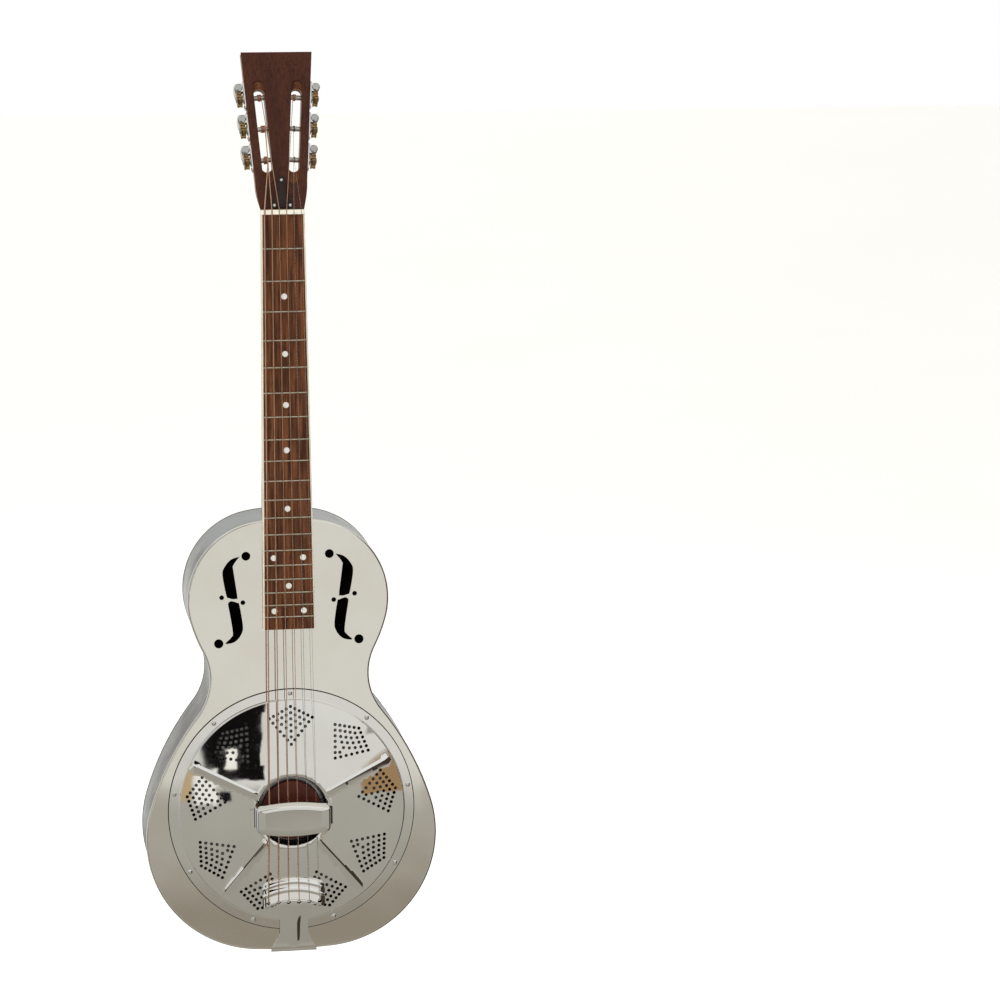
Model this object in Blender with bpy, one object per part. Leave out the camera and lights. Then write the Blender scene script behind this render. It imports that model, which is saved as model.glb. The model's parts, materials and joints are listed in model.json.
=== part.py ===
"""Metal-bodied resonator guitar with a single biscuit cone, built as separate pieces.

Frame: metres, +Z up the neck, -Y is the playing side, +X is the treble side.
The origin is the outer face of the strap button, on the body's centre line and at its mid depth.
"""
import math

import bmesh
import bpy
from mathutils import Matrix, Vector
from mathutils.geometry import tessellate_polygon

# ---------------------------------------------------------------- driving dimensions
GAP = 0.0003                # clearance between pieces that touch
SHEET = 0.0012              # body sheet metal

SCALE_LENGTH = 0.635
FRET_COUNT = 19
Z_SADDLE = 0.164
Z_NUT = Z_SADDLE + SCALE_LENGTH

BODY_DEPTH = 0.085
Y_FRONT = -BODY_DEPTH / 2   # front surface of the front plate
Y_BACK = BODY_DEPTH / 2     # back surface of the back plate's rim
Z_BODY_TOP = Z_SADDLE + 0.3155
# Tangent arcs of half the outline from the neck end round to the tail: radius, degrees turned.
# A negative radius is the hollow of the waist; a last arc closes on the centre line.
BODY_ARCS = (
    (0.214, 9.5),
    (0.085, 96.0),
    (0.162, 11.5),
    (-0.064, 65.0),
    (0.306, 21.0),
    (0.123, 102.5),
)
ARC_STEP = math.radians(8.0)    # most that one outline segment turns
ARC_LENGTH = 0.022          # most that one outline segment measures
BACK_RIM = 0.014            # flat rim round the arched back
BACK_ARCH = 0.0055

# sound holes: one upright pair of leaf-shaped cuts with four round holes, mirrored about X = 0
SOUND_HOLE_ROUNDS = (       # x, height over the saddle, radius
    (0.0440, 0.2766, 0.0047),
    (0.0742, 0.1840, 0.0049),
    (0.0702, 0.2332, 0.0025),
    (0.0480, 0.2272, 0.0025),
)
SOUND_HOLE_LEAVES = (       # curve points of the upper and the lower leaf, x and height over the saddle
    (
        (0.0506, 0.2764), (0.0597, 0.2735), (0.0668, 0.2655), (0.0689, 0.2570), (0.0652, 0.2352),
        (0.0622, 0.2324), (0.0580, 0.2312), (0.0550, 0.2316), (0.0537, 0.2336), (0.0574, 0.2615),
        (0.0573, 0.2675),
    ),
    (
        (0.0638, 0.2266), (0.0618, 0.2288), (0.0590, 0.2290), (0.0540, 0.2272), (0.0517, 0.2246),
        (0.0484, 0.2020), (0.0502, 0.1935), (0.0548, 0.1872), (0.0605, 0.1842), (0.0672, 0.1840),
        (0.0612, 0.1900), (0.0592, 0.1965),
    ),
)

# resonator, on an axis along Y through (0, Z_CONE); depths count backwards from the front surface
Z_CONE = Z_SADDLE + 0.002
WELL_RADIUS = 0.1210
WELL_LEDGE_RADIUS = 0.1100
WELL_DEPTH = 0.0240
CONE_RADIUS = 0.1185
CONE_TOP_RADIUS = 0.0340
CONE_TOP_DEPTH = 0.0042
CONE_SHEET = 0.0008
BISCUIT_RADIUS = 0.0320
BISCUIT_HEIGHT = 0.0080
SADDLE_TOP = 0.0133         # height of the saddle over the front surface
SADDLE_LENGTH = 0.062
SADDLE_THICKNESS = 0.003

COVER_RADIUS = 0.1314
COVER_SHEET = 0.0010
COVER_SCREW_CIRCLE = 0.1263
COVER_SCREWS = 9
COVER_DOME_RADIUS = 0.1172
COVER_OPENING = 0.0375
COVER_STEP = 0.0040         # height of the dome's foot over the front surface
COVER_RISE = 0.0050         # further rise of the dome towards its centre
RIB_ANGLES = (60.0, 140.0, 220.0, 300.0)
RIB_WIDTH = 0.0085
RIB_HEIGHT = 0.0024
RIB_INNER = 0.0415
RIB_OUTER = (0.1130, 0.1060)    # ends of the two ribs towards the neck, of the two towards the tail

HANDREST_WIDTH = 0.079
HANDREST_HALF_HEIGHT = 0.0145
HANDREST_BOW = 0.0045
HANDREST_TOP = 0.0250       # over the front surface
HANDREST_FOOT = 0.0055
HANDREST_BELOW_SADDLE = 0.0035

TAIL_SHEET = 0.0015
TAIL_PITCH = 0.0110
TAIL_STRING_Z = Z_SADDLE - 0.0960
TAIL_TAB_LENGTH = 0.052

# neck, fingerboard and nut
NECK_TOP = 0.008            # fingerboard surface over the front surface
NUT_WIDTH = 0.0453
BOARD_END_WIDTH = 0.0551
Z_BOARD_END = Z_SADDLE + 0.1985
FRET_HEIGHT = 0.0010
FRET_WIDTH = 0.0024
NUT_THICKNESS = 0.005
NUT_TOP = 0.0098            # over the front surface
NECK_DEPTH_NUT = 0.0150
NECK_DEPTH_HEEL = 0.0190
HEEL_DEPTH = 0.0815
HEEL_CAP_HALF = 0.0229
HEEL_CAP_LENGTH = 0.0290
STICK_WIDTH = 0.028
STICK_DEPTH = 0.020

# headstock
HEAD_TILT = math.radians(15.0)
HEAD_LENGTH = 0.166
HEAD_THICKNESS = 0.016
VENEER = 0.0015
HEAD_SHOULDER = 0.030       # distance from the nut where the sides run straight
HEAD_SHOULDER_HALF = 0.0270
HEAD_TIP_HALF = 0.0370
HEAD_FACE_OFFSET = 0.0040   # veneer face over the front surface, at the back of the nut
SLOT_INSET = 0.0142         # slot centre line inside the headstock's side
SLOT_WIDTH = 0.0110
SLOT_START = 0.0400
SLOT_END = 0.1280
RAMP_STARTS = (0.0245, 0.1368)  # where the slots' two sloping ends reach the face
RAMP_REACH = 0.0060         # how far each ramp runs into the slot
RAMP_DEPTH = 0.0075

# tuners
TUNER_POSITIONS = (0.0524, 0.0852, 0.1181)
ROLLER_DEPTH = 0.0085       # roller axis behind the veneer face
ROLLER_RADIUS = 0.0030
ROLLER_CLEARANCE = 0.00035
GEAR_TEETH = 14
GEAR_PITCH_RADIUS = 0.0075
GEAR_TIP_RADIUS = 0.0084
GEAR_ROOT_RADIUS = 0.0066
GEAR_INNER_X = 0.0035
GEAR_WIDTH = 0.0050
WORM_OFFSET = 0.0115        # worm axis from roller axis, towards the head's tip
WORM_RADIUS = 0.0042
WORM_CORE = 0.0029
WORM_HALF_LENGTH = 0.0041
WORM_LEAD = 2 * math.pi * GEAR_PITCH_RADIUS / GEAR_TEETH
SHAFT_RADIUS = 0.0015
EAR_Z = 0.0046              # inner faces of the two ears
EAR_THICKNESS = 0.0012
BUTTON_LONG = 0.0195
BUTTON_SHORT = 0.0077
BUTTON_HEIGHT = 0.0110
BUTTON_START = 0.0098       # behind the roller axis plane

# strings, bass to treble
STRING_DIAMETERS = (0.00135, 0.00107, 0.00081, 0.00066, 0.00041, 0.00030)
STRING_PITCH_NUT = 0.0076
STRING_PITCH_SADDLE = 0.0100
STRING_POSTS = (0, 1, 2, 2, 1, 0)           # tuner of each string, counted from the nut
STRING_POST_X = (-0.0124, -0.0141, -0.0169, 0.0159, 0.0152, 0.0146)     # where each meets its roller


# ---------------------------------------------------------------- helpers
def clear_scene():
    for obj in list(bpy.data.objects):
        bpy.data.objects.remove(obj, do_unlink=True)


def make_material(name, colour, roughness, metallic):
    material = bpy.data.materials.new(name)
    material.use_nodes = True
    shader = material.node_tree.nodes["Principled BSDF"]
    shader.inputs["Base Color"].default_value = (*colour, 1.0)
    shader.inputs["Roughness"].default_value = roughness
    shader.inputs["Metallic"].default_value = metallic
    return material


def make_object(name, verts, faces, material, parent=None, location=(0, 0, 0)):
    """A mesh object with its faces turned outwards and its round parts shaded smooth."""
    mesh = bpy.data.meshes.new(name)
    mesh.from_pydata([tuple(v) for v in verts], [], faces)
    work = bmesh.new()
    work.from_mesh(mesh)
    bmesh.ops.recalc_face_normals(work, faces=work.faces)
    work.to_mesh(mesh)
    work.free()
    mesh.shade_smooth()
    mesh.set_sharp_from_angle(angle=math.radians(32))
    mesh.materials.append(material)
    obj = bpy.data.objects.new(name, mesh)
    bpy.context.collection.objects.link(obj)
    obj.location = location
    obj.parent = parent
    return obj


def make_empty(name, matrix):
    empty = bpy.data.objects.new(name, None)
    bpy.context.collection.objects.link(empty)
    empty.matrix_world = matrix
    return empty


def combine(obj, tool, operation):
    """Cut obj with the tool or join the tool to it, then drop the tool."""
    bpy.context.view_layer.update()
    modifier = obj.modifiers.new(operation.lower(), "BOOLEAN")
    modifier.object = tool
    modifier.operation = operation
    depsgraph = bpy.context.evaluated_depsgraph_get()
    mesh = bpy.data.meshes.new_from_object(obj.evaluated_get(depsgraph))
    obj.modifiers.clear()
    mesh.name = obj.name
    obj.data = mesh
    bpy.data.objects.remove(tool, do_unlink=True)


def circle_points(centre, radius, count, phase=0.0):
    turns = [phase + 2 * math.pi * k / count for k in range(count)]
    return [(centre[0] + radius * math.cos(a), centre[1] + radius * math.sin(a)) for a in turns]


def prism(name, outline, low, high, axis, material, holes=(), parent=None):
    """Extrude a flat outline with holes from low to high along axis X, Y or Z."""
    loops = [list(outline)] + [list(h) for h in holes]
    flat = [[Vector((a, b, 0)) for a, b in loop] for loop in loops]
    triangles = tessellate_polygon(flat)
    points = [p for loop in loops for p in loop]
    count = len(points)
    order = {"X": (2, 0, 1), "Y": (0, 2, 1), "Z": (0, 1, 2)}[axis]
    verts = []
    for level in (low, high):
        for a, b in points:
            triple = (a, b, level)
            verts.append(tuple(triple[i] for i in order))
    faces = [tuple(t) for t in triangles] + [tuple(count + i for i in reversed(t)) for t in triangles]
    start = 0
    for loop in loops:
        size = len(loop)
        for k in range(size):
            a = start + k
            b = start + (k + 1) % size
            faces.append((a, b, count + b, count + a))
        start += size
    return make_object(name, verts, faces, material, parent)


def lathe(name, profile, material, segments, axis="Y", parent=None, location=(0, 0, 0), closed=False):
    """Turn a profile of (radius, height) points; its ends lie on the axis unless it is a closed loop."""
    verts = []
    rings = []
    for radius, height in profile:
        if radius < 1e-9:
            rings.append([len(verts)])
            verts.append((0.0, 0.0, height))
            continue
        rings.append(list(range(len(verts), len(verts) + segments)))
        verts += [(x, y, height) for x, y in circle_points((0, 0), radius, segments)]
    faces = []
    pairs = list(zip(rings, rings[1:]))
    if closed:
        pairs.append((rings[-1], rings[0]))
    for lower, upper in pairs:
        for k in range(segments):
            n = (k + 1) % segments
            if len(lower) == 1:
                faces.append((lower[0], upper[n], upper[k]))
            elif len(upper) == 1:
                faces.append((lower[k], lower[n], upper[0]))
            else:
                faces.append((lower[k], lower[n], upper[n], upper[k]))
    if axis == "Y":
        verts = [(x, z, y) for x, y, z in verts]
    elif axis == "X":
        verts = [(z, x, y) for x, y, z in verts]
    return make_object(name, verts, faces, material, parent, location)


def loft(name, sections, material, parent=None):
    """Join equal rings of points, and close both ends."""
    size = len(sections[0])
    verts = [p for ring in sections for p in ring]
    faces = [tuple(reversed(range(size))), tuple(range(len(verts) - size, len(verts)))]
    for row in range(len(sections) - 1):
        base = row * size
        for k in range(size):
            n = (k + 1) % size
            faces.append((base + k, base + n, base + size + n, base + size + k))
    return make_object(name, verts, faces, material, parent)


def tube(name, route, radius, sides, material):
    """A straight-sided tube along a route of points."""
    sections = []
    for i, point in enumerate(route):
        before = route[max(i - 1, 0)]
        after = route[min(i + 1, len(route) - 1)]
        along = (Vector(after) - Vector(before)).normalized()
        across = along.cross(Vector((1, 0, 0))).normalized()
        other = along.cross(across)
        ring = []
        for k in range(sides):
            angle = 2 * math.pi * k / sides
            ring.append(Vector(point) + radius * (math.cos(angle) * across + math.sin(angle) * other))
        sections.append(ring)
    return loft(name, sections, material)


def box(name, low, high, material, parent=None):
    outline = [(low[0], low[1]), (high[0], low[1]), (high[0], high[1]), (low[0], high[1])]
    return prism(name, outline, low[2], high[2], "Z", material, parent=parent)


# ---------------------------------------------------------------- body
def half_outline(inset):
    """Half of the body's outline from the neck end: tangent arcs, the last one closing on X = 0."""
    heading = 0.0
    x, z = 0.0, Z_BODY_TOP - inset
    points = [(x, z)]
    spans = [(radius - inset, math.radians(turn)) for radius, turn in BODY_ARCS]
    turned = sum(math.copysign(turn, radius) for radius, turn in spans)
    spans.append((None, math.pi - turned))
    for radius, turn in spans:
        if radius is None:
            radius = x / math.sin(turn)
        side = math.copysign(1.0, radius)
        length = abs(radius + inset) * turn
        steps = max(math.ceil(turn / ARC_STEP - 0.1), math.ceil(length / ARC_LENGTH))
        centre_x = x + radius * math.sin(heading)
        centre_z = z - radius * math.cos(heading)
        for k in range(1, steps + 1):
            angle = heading - side * turn * k / steps
            x = centre_x - radius * math.sin(angle)
            z = centre_z + radius * math.cos(angle)
            points.append((x, z))
        heading -= side * turn
    return points


def body_outline(inset):
    """The body's outline, moved inwards by inset, clockwise from the neck end."""
    half = half_outline(inset)
    half[-1] = (0.0, half[-1][1])
    return half + [(-x, z) for x, z in reversed(half[1:-1])]


def tail_height():
    return min(z for _, z in body_outline(0.0))


def smooth_loop(points, steps):
    """A closed Catmull-Rom curve through points whose first one is kept as a sharp tip."""
    result = []
    count = len(points)
    for i in range(count):
        p0, p1, p2, p3 = (points[(i + k) % count] for k in (-1, 0, 1, 2))
        if i == 0:
            p0 = p1
        if i == count - 1:
            p3 = p2
        for s in range(steps):
            t = s / steps
            result.append(tuple(
                0.5 * (2 * b + (c - a) * t + (2 * a - 5 * b + 4 * c - d) * t * t + (3 * b - a - 3 * c + d) * t ** 3)
                for a, b, c, d in zip(p0, p1, p2, p3)
            ))
    return result


def sound_holes():
    """Outlines of every cut of both sound holes."""
    holes = []
    for side in (-1, 1):
        for x, height, radius in SOUND_HOLE_ROUNDS:
            holes.append(circle_points((side * x, Z_SADDLE + height), radius, 10))
        for leaf in SOUND_HOLE_LEAVES:
            loop = smooth_loop(leaf, 2)
            holes.append([(side * x, Z_SADDLE + height) for x, height in loop])
    return holes


def cover_angle_point(degrees, radius):
    """A point on the cover, by its angle from the neck side, clockwise as seen by the player."""
    angle = math.radians(degrees)
    return radius * math.sin(angle), Z_CONE + radius * math.cos(angle)


def build_front_plate(material):
    holes = sound_holes()
    holes.append(circle_points((0, Z_CONE), WELL_RADIUS, 60))
    for k in range(COVER_SCREWS):
        centre = cover_angle_point(360.0 * k / COVER_SCREWS, COVER_SCREW_CIRCLE)
        holes.append(circle_points(centre, 0.0016, 6))
    prism("front_plate", body_outline(0.0), Y_FRONT, Y_FRONT + SHEET, "Y", material, holes)


def build_side_band(material):
    low = Y_FRONT + SHEET + GAP
    high = Y_BACK - SHEET - GAP
    band = prism("side_band", body_outline(0.0), low, high, "Y", material, [body_outline(SHEET)])
    half_x = STICK_WIDTH / 2 + GAP
    half_y = STICK_DEPTH / 2 + GAP
    mortise = box(
        "mortise", (-half_x, -half_y, Z_BODY_TOP - 0.006), (half_x, half_y, Z_BODY_TOP + 0.006), material)
    combine(band, mortise, "DIFFERENCE")
    profile = ((0, tail_height() - 0.01), (0.0024, tail_height() - 0.01), (0.0024, tail_height() + 0.01),
               (0, tail_height() + 0.01))
    combine(band, lathe("button_hole", profile, material, 12, "Z"), "DIFFERENCE")


def build_back_plate(material):
    """Flat rim, then a pressed arch that rises quickly and flattens towards the middle."""
    steps = ((0.0, 0.0), (BACK_RIM, 0.0), (0.022, 0.42), (0.036, 0.80), (0.056, 1.0))
    outer = [[(x, Y_BACK + BACK_ARCH * rise, z) for x, z in body_outline(inset)] for inset, rise in steps]
    inner = [[(x, y - SHEET, z) for x, y, z in ring] for ring in reversed(outer)]
    loft("back_plate", inner + outer, material)


# ---------------------------------------------------------------- resonator
def front(depth):
    """Y of a depth behind the body's front surface; heights over it are negative depths."""
    return Y_FRONT + depth


def build_soundwell(material):
    top = front(SHEET + GAP)
    ledge = front(WELL_DEPTH)
    profile = (
        (WELL_RADIUS, top),
        (WELL_RADIUS, ledge),
        (WELL_LEDGE_RADIUS, ledge),
        (WELL_LEDGE_RADIUS, ledge + SHEET),
        (WELL_RADIUS + SHEET, ledge + SHEET),
        (WELL_RADIUS + SHEET, top),
    )
    lathe("soundwell", profile, material, 40, location=(0, 0, Z_CONE), closed=True)


def build_cone(material):
    lip = front(WELL_DEPTH - GAP)
    top = front(CONE_TOP_DEPTH)
    bore = 0.0018
    profile = (
        (CONE_RADIUS, lip),
        (CONE_RADIUS, lip - CONE_SHEET),
        (CONE_RADIUS - 0.004, lip - CONE_SHEET),
        (CONE_TOP_RADIUS, top),
        (bore, top),
        (bore, top + CONE_SHEET),
        (CONE_TOP_RADIUS, top + CONE_SHEET),
        (CONE_RADIUS - 0.004, lip),
    )
    lathe("resonator_cone", profile, material, 40, location=(0, 0, Z_CONE), closed=True)


def build_biscuit(wood, metal):
    back = front(CONE_TOP_DEPTH - GAP)
    face = back - BISCUIT_HEIGHT
    bore = 0.0018
    depth = 0.005
    profile = (
        (0, face),
        (BISCUIT_RADIUS - 0.001, face),
        (BISCUIT_RADIUS, face + 0.001),
        (BISCUIT_RADIUS, back),
        (bore, back),
        (bore, back - depth),
        (0, back - depth),
    )
    lathe("biscuit", profile, wood, 24, location=(0, 0, Z_CONE))
    head = front(CONE_TOP_DEPTH + CONE_SHEET + GAP)
    screw = (
        (0, back - depth + GAP),
        (bore - GAP, back - depth + GAP),
        (bore - GAP, head),
        (0.0032, head),
        (0.0032, head + 0.0014),
        (0, head + 0.0020),
    )
    lathe("biscuit_screw", screw, metal, 12, location=(0, 0, Z_CONE))


def build_saddle(material):
    foot = front(CONE_TOP_DEPTH - GAP) - BISCUIT_HEIGHT - GAP
    crest = front(-SADDLE_TOP)
    half = SADDLE_LENGTH / 2
    end = 0.0035            # the ends are lower than the crest
    outline = (
        (-half, foot), (half, foot), (half, crest + end), (half - 0.003, crest), (-half + 0.003, crest),
        (-half, crest + end),
    )
    low = Z_SADDLE - SADDLE_THICKNESS
    prism("saddle", outline, low, Z_SADDLE, "Z", material)


def dome_height(radius):
    """Height of the cover's outer surface over the front surface, inside its rim."""
    return COVER_STEP + COVER_RISE * (1 - (radius / COVER_DOME_RADIUS) ** 2)


def build_cover(material):
    rim_low = GAP
    rim_high = GAP + COVER_SHEET
    dome_radii = [COVER_DOME_RADIUS, 0.092, 0.065, COVER_OPENING]
    outer = [(COVER_RADIUS, rim_high), (COVER_DOME_RADIUS + 0.0016, rim_high)]
    outer += [(radius, dome_height(radius)) for radius in dome_radii]
    inner = [(radius, dome_height(radius) - COVER_SHEET) for radius in reversed(dome_radii)]
    inner += [(COVER_DOME_RADIUS + 0.0006, rim_low), (COVER_RADIUS, rim_low)]
    profile = [(radius, front(-height)) for radius, height in outer + inner]
    cover = lathe("coverplate", profile, material, 60, location=(0, 0, Z_CONE), closed=True)
    for k, angle in enumerate(RIB_ANGLES):
        end = RIB_OUTER[0] if k in (0, 3) else RIB_OUTER[1]
        combine(cover, rib(angle, end, material), "UNION")
    for k in range(COVER_SCREWS):
        x, z = cover_angle_point(360.0 * k / COVER_SCREWS, COVER_SCREW_CIRCLE)
        profile = ((0, -0.003), (0.0016, -0.003), (0.0016, 0.003), (0, 0.003))
        hole = lathe("hole", profile, material, 6, location=(x, Y_FRONT, z))
        combine(cover, hole, "DIFFERENCE")


def rib(angle, outer_end, material):
    """A ridge with a crisp crest that runs outwards over the dome and dies out at both ends."""
    half = RIB_WIDTH / 2
    taper = 0.005
    stations = ((RIB_INNER, 0.0), (RIB_INNER + taper, 1.0), (outer_end - taper, 1.0), (outer_end, 0.0))
    turn = Matrix.Rotation(math.radians(angle), 3, "Y")
    sections = []
    for radius, share in stations:
        surface = dome_height(radius)
        shape = (
            (-half * (0.4 + 0.6 * share), surface - 0.0007),
            (0.0, surface + RIB_HEIGHT * share - 0.0003 * (1 - share)),
            (half * (0.4 + 0.6 * share), surface - 0.0007),
        )
        sections.append([turn @ Vector((x, front(-height), radius)) for x, height in shape])
    ridge = loft("rib", sections, material)
    ridge.location = (0, 0, Z_CONE)
    return ridge


def build_cover_screws(material):
    head = front(-(GAP + COVER_SHEET + GAP))
    profile = (
        (0, head - 0.0012), (0.0014, head - 0.0011), (0.0024, head - 0.0006), (0.0026, head),
        (0.0012, head), (0.0012, head + 0.006), (0, head + 0.0065),
    )
    for k in range(COVER_SCREWS):
        x, z = cover_angle_point(360.0 * k / COVER_SCREWS, COVER_SCREW_CIRCLE)
        lathe(f"coverplate_screw_{k + 1}", profile, material, 8, location=(x, 0, z))


def build_handrest(material):
    """A bent sheet: bowed pad on two side walls, each with a foot on the cover."""
    half = HANDREST_WIDTH / 2
    floor = -(dome_height(COVER_OPENING) + GAP)
    top = -HANDREST_TOP
    corner = 0.003
    sheet = COVER_SHEET
    outer = [(half + HANDREST_FOOT, floor - sheet), (half, floor - sheet), (half, top + corner),
             (half - corner, top)]
    inner = [(half + HANDREST_FOOT, floor), (half - sheet, floor), (half - sheet, top + corner),
             (half - corner, top + sheet)]
    middle = 0.013
    outer += [(middle, top - 0.0006)]
    inner += [(middle, top + sheet - 0.0006)]
    outer += [(-x, y) for x, y in reversed(outer)]
    inner += [(-x, y) for x, y in reversed(inner)]
    centre = Z_SADDLE - HANDREST_BELOW_SADDLE
    sections = []
    for (ox, oy), (ix, iy) in zip(outer, inner):
        share = max(0.0, 1 - (ox / half) ** 2)
        reach = HANDREST_HALF_HEIGHT + HANDREST_BOW * share
        if abs(ox) > half + 0.001:
            reach -= 0.0015
        sections.append([
            (ox, front(oy), centre - reach), (ox, front(oy), centre + reach),
            (ix, front(iy), centre + reach), (ix, front(iy), centre - reach),
        ])
    loft("handrest", sections, material)


# ---------------------------------------------------------------- tailpiece and strap button
def build_tailpiece(material):
    """A stamped plate: a tab on the tail, a waisted stem rising over the cover, a bar with six holes."""
    tail = tail_height()
    under = tail - GAP - TAIL_SHEET
    lip = GAP + TAIL_SHEET
    # path of the outer surface in the centre plane with half widths: depth, z, half width
    path = (
        (TAIL_TAB_LENGTH, under, 0.011),
        (0.010, under, 0.0165),
        (-lip + 0.001, under, 0.0240),
        (-lip, under + 0.001, 0.0240),
        (-lip, tail + 0.012, 0.0175),
        (-lip - 0.0022, tail + 0.022, 0.0145),
        (-lip - 0.0050, tail + 0.036, 0.0150),
        (-lip - 0.0068, tail + 0.046, 0.0200),
        (-0.0092, tail + 0.052, 0.0320),
        (-0.0095, tail + 0.062, 0.0335),
        (-0.0100, tail + 0.070, 0.0335),
        (-0.0102, tail + 0.076, 0.0320),
        (-0.0095, tail + 0.081, 0.0270),
    )
    sections = []
    for i, (depth, z, half) in enumerate(path):
        before = path[max(i - 1, 0)]
        after = path[min(i + 1, len(path) - 1)]
        along = Vector((0, after[0] - before[0], after[1] - before[1])).normalized()
        inwards = Vector((0, -along.z, along.y)) * -TAIL_SHEET
        crown = Vector((0, along.z, -along.y)) * -0.0005
        outer = Vector((0, front(depth), z))
        row = []
        for x, lift in ((-half, 0), (-half / 2, 1), (half / 2, 1), (half, 0)):
            row.append(outer + Vector((x, 0, 0)) + crown * lift * (0 if i < 4 else 1))
        row += [p + inwards for p in reversed(row)]
        sections.append(row)
    plate = loft("tailpiece", sections, material)
    for k in range(6):
        x = TAIL_PITCH * (k - 2.5)
        profile = ((0, front(-0.02)), (0.0022, front(-0.02)), (0.0022, front(-0.005)), (0, front(-0.005)))
        hole = lathe("hole", profile, material, 8, location=(x, 0, TAIL_STRING_Z))
        combine(plate, hole, "DIFFERENCE")
    profile = ((0, under - 0.01), (0.0024, under - 0.01), (0.0024, under + 0.01), (0, under + 0.01))
    combine(plate, lathe("button_hole", profile, material, 12, "Z"), "DIFFERENCE")


def build_strap_button(material):
    """A turned button whose screw passes the tab and the band into the neck stick."""
    seat = tail_height() - 2 * GAP - TAIL_SHEET
    profile = (
        (0, 0), (0.0060, 0), (0.0075, 0.0010), (0.0075, 0.0024), (0.0045, 0.0040), (0.0045, 0.0065),
        (0.0065, seat - 0.0010), (0.0065, seat), (0.0020, seat), (0.0020, seat + 0.022),
        (0, seat + 0.024),
    )
    lathe("strap_button", profile, material, 14, "Z")


def build_neck_stick(material):
    low = tail_height() + SHEET + 3 * GAP
    half_x = STICK_WIDTH / 2
    half_y = STICK_DEPTH / 2
    stick = box("neck_stick", (-half_x, -half_y, low), (half_x, half_y, Z_BODY_TOP), material)
    profile = ((0, 0), (0.0024, 0), (0.0024, low + 0.026), (0, low + 0.026))
    combine(stick, lathe("hole", profile, material, 12, "Z"), "DIFFERENCE")


# ---------------------------------------------------------------- neck
def board_half_width(z):
    share = (Z_NUT - z) / (Z_NUT - Z_BOARD_END)
    return (NUT_WIDTH + (BOARD_END_WIDTH - NUT_WIDTH) * share) / 2


def head_point(x, along, depth):
    """A point on the headstock: across, up from the nut, and behind the veneer's face."""
    sine, cosine = math.sin(HEAD_TILT), math.cos(HEAD_TILT)
    y = front(-HEAD_FACE_OFFSET) + along * sine + depth * cosine
    z = Z_NUT + NUT_THICKNESS + along * cosine - depth * sine
    return Vector((x, y, z))


def head_half_width(along):
    slope = (HEAD_TIP_HALF - HEAD_SHOULDER_HALF) / (HEAD_LENGTH - HEAD_SHOULDER)
    if along >= HEAD_SHOULDER:
        return HEAD_SHOULDER_HALF + slope * (along - HEAD_SHOULDER)
    share = max(along, 0.0) / HEAD_SHOULDER
    return NUT_WIDTH / 2 + (HEAD_SHOULDER_HALF - NUT_WIDTH / 2) * math.sin(share * math.pi / 2)


def neck_ring(half, depth, squareness, place):
    """A section with a flat front and a rounded back; place puts (x, depth) in the world."""
    steps = 10
    ring = []
    for k in range(steps + 1):
        angle = math.pi * k / steps
        cosine, sine = math.cos(angle), math.sin(angle)
        x = half * math.copysign(abs(cosine) ** squareness, cosine) if abs(cosine) > 1e-9 else 0.0
        y = depth * abs(sine) ** squareness if k not in (0, steps) else 0.0
        ring.append(place(x, y))
    return ring


def shaft_place(z, lean=0.0):
    """Places a section of the shaft at height z; lean lowers its back towards the headstock's tilt."""
    return lambda x, depth: Vector((x, front(depth), z - lean * depth))


def head_place(along):
    return lambda x, depth: head_point(x, along, VENEER + GAP + depth)


def heel_ring(rise):
    """A section of the heel: nearly straight flanks down to a cap that narrows to a point."""
    share = rise / HEEL_CAP_LENGTH
    half = 0.0262
    cap = HEEL_CAP_HALF * (1 - share) ** 0.6
    flank = []
    for k in range(5):
        v = k / 4
        flank.append((cap + (half - cap) * (1 - v) ** (1 + share), HEEL_DEPTH * v))
    place = shaft_place(Z_BODY_TOP + GAP + rise)
    ring = [place(x, depth) for x, depth in flank]
    ring.append(place(0.0, HEEL_DEPTH + 0.0004))
    ring += [place(-x, depth) for x, depth in reversed(flank)]
    return ring


def build_neck(material):
    heel_top = Z_BODY_TOP + GAP
    sections = [heel_ring(HEEL_CAP_LENGTH * share) for share in (0.0, 0.35, 0.7, 0.93)]
    for rise, depth, square in ((0.0310, 0.056, 1.0), (0.0380, 0.0390, 0.92), (0.0500, 0.0265, 0.86),
                                (0.0680, NECK_DEPTH_HEEL, 0.85)):
        z = heel_top + rise
        sections.append(neck_ring(board_half_width(z), depth, square, shaft_place(z)))
    sections += [
        neck_ring(board_half_width(Z_NUT - 0.03), NECK_DEPTH_NUT, 0.85, shaft_place(Z_NUT - 0.03)),
        neck_ring(NUT_WIDTH / 2, NECK_DEPTH_NUT, 0.85, shaft_place(Z_NUT, 0.14)),
        neck_ring(NUT_WIDTH / 2, NECK_DEPTH_NUT, 0.80, shaft_place(Z_NUT + NUT_THICKNESS, math.tan(HEAD_TILT))),
    ]
    wood = HEAD_THICKNESS - VENEER - GAP
    for along, square in ((0.0006, 0.70), (0.008, 0.45), (0.015, 0.25), (0.022, 0.15), (HEAD_SHOULDER, 0.10),
                          (HEAD_LENGTH, 0.10)):
        sections.append(neck_ring(head_half_width(along), wood, square, head_place(along)))
    neck = loft("neck", sections, material)
    for side in (-1, 1):
        for cutter in [slot_cutter(side, material), *slot_ramps(side, material)]:
            combine(neck, cutter, "DIFFERENCE")
        for along in TUNER_POSITIONS:
            combine(neck, roller_hole(side, along, material), "DIFFERENCE")
    low = (-0.0035, front(-0.002), Z_BODY_TOP + 0.012)
    high = (0.0035, front(0.0085), Z_NUT + 0.016)
    combine(neck, box("rod_channel", low, high, material), "DIFFERENCE")


def head_prism(name, outline, shallow, deep, material):
    """Extrude an outline of (x, along) from one depth to another behind the veneer's face."""
    sections = [[head_point(x, along, depth) for x, along in outline] for depth in (shallow, deep)]
    return loft(name, sections, material)


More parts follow.
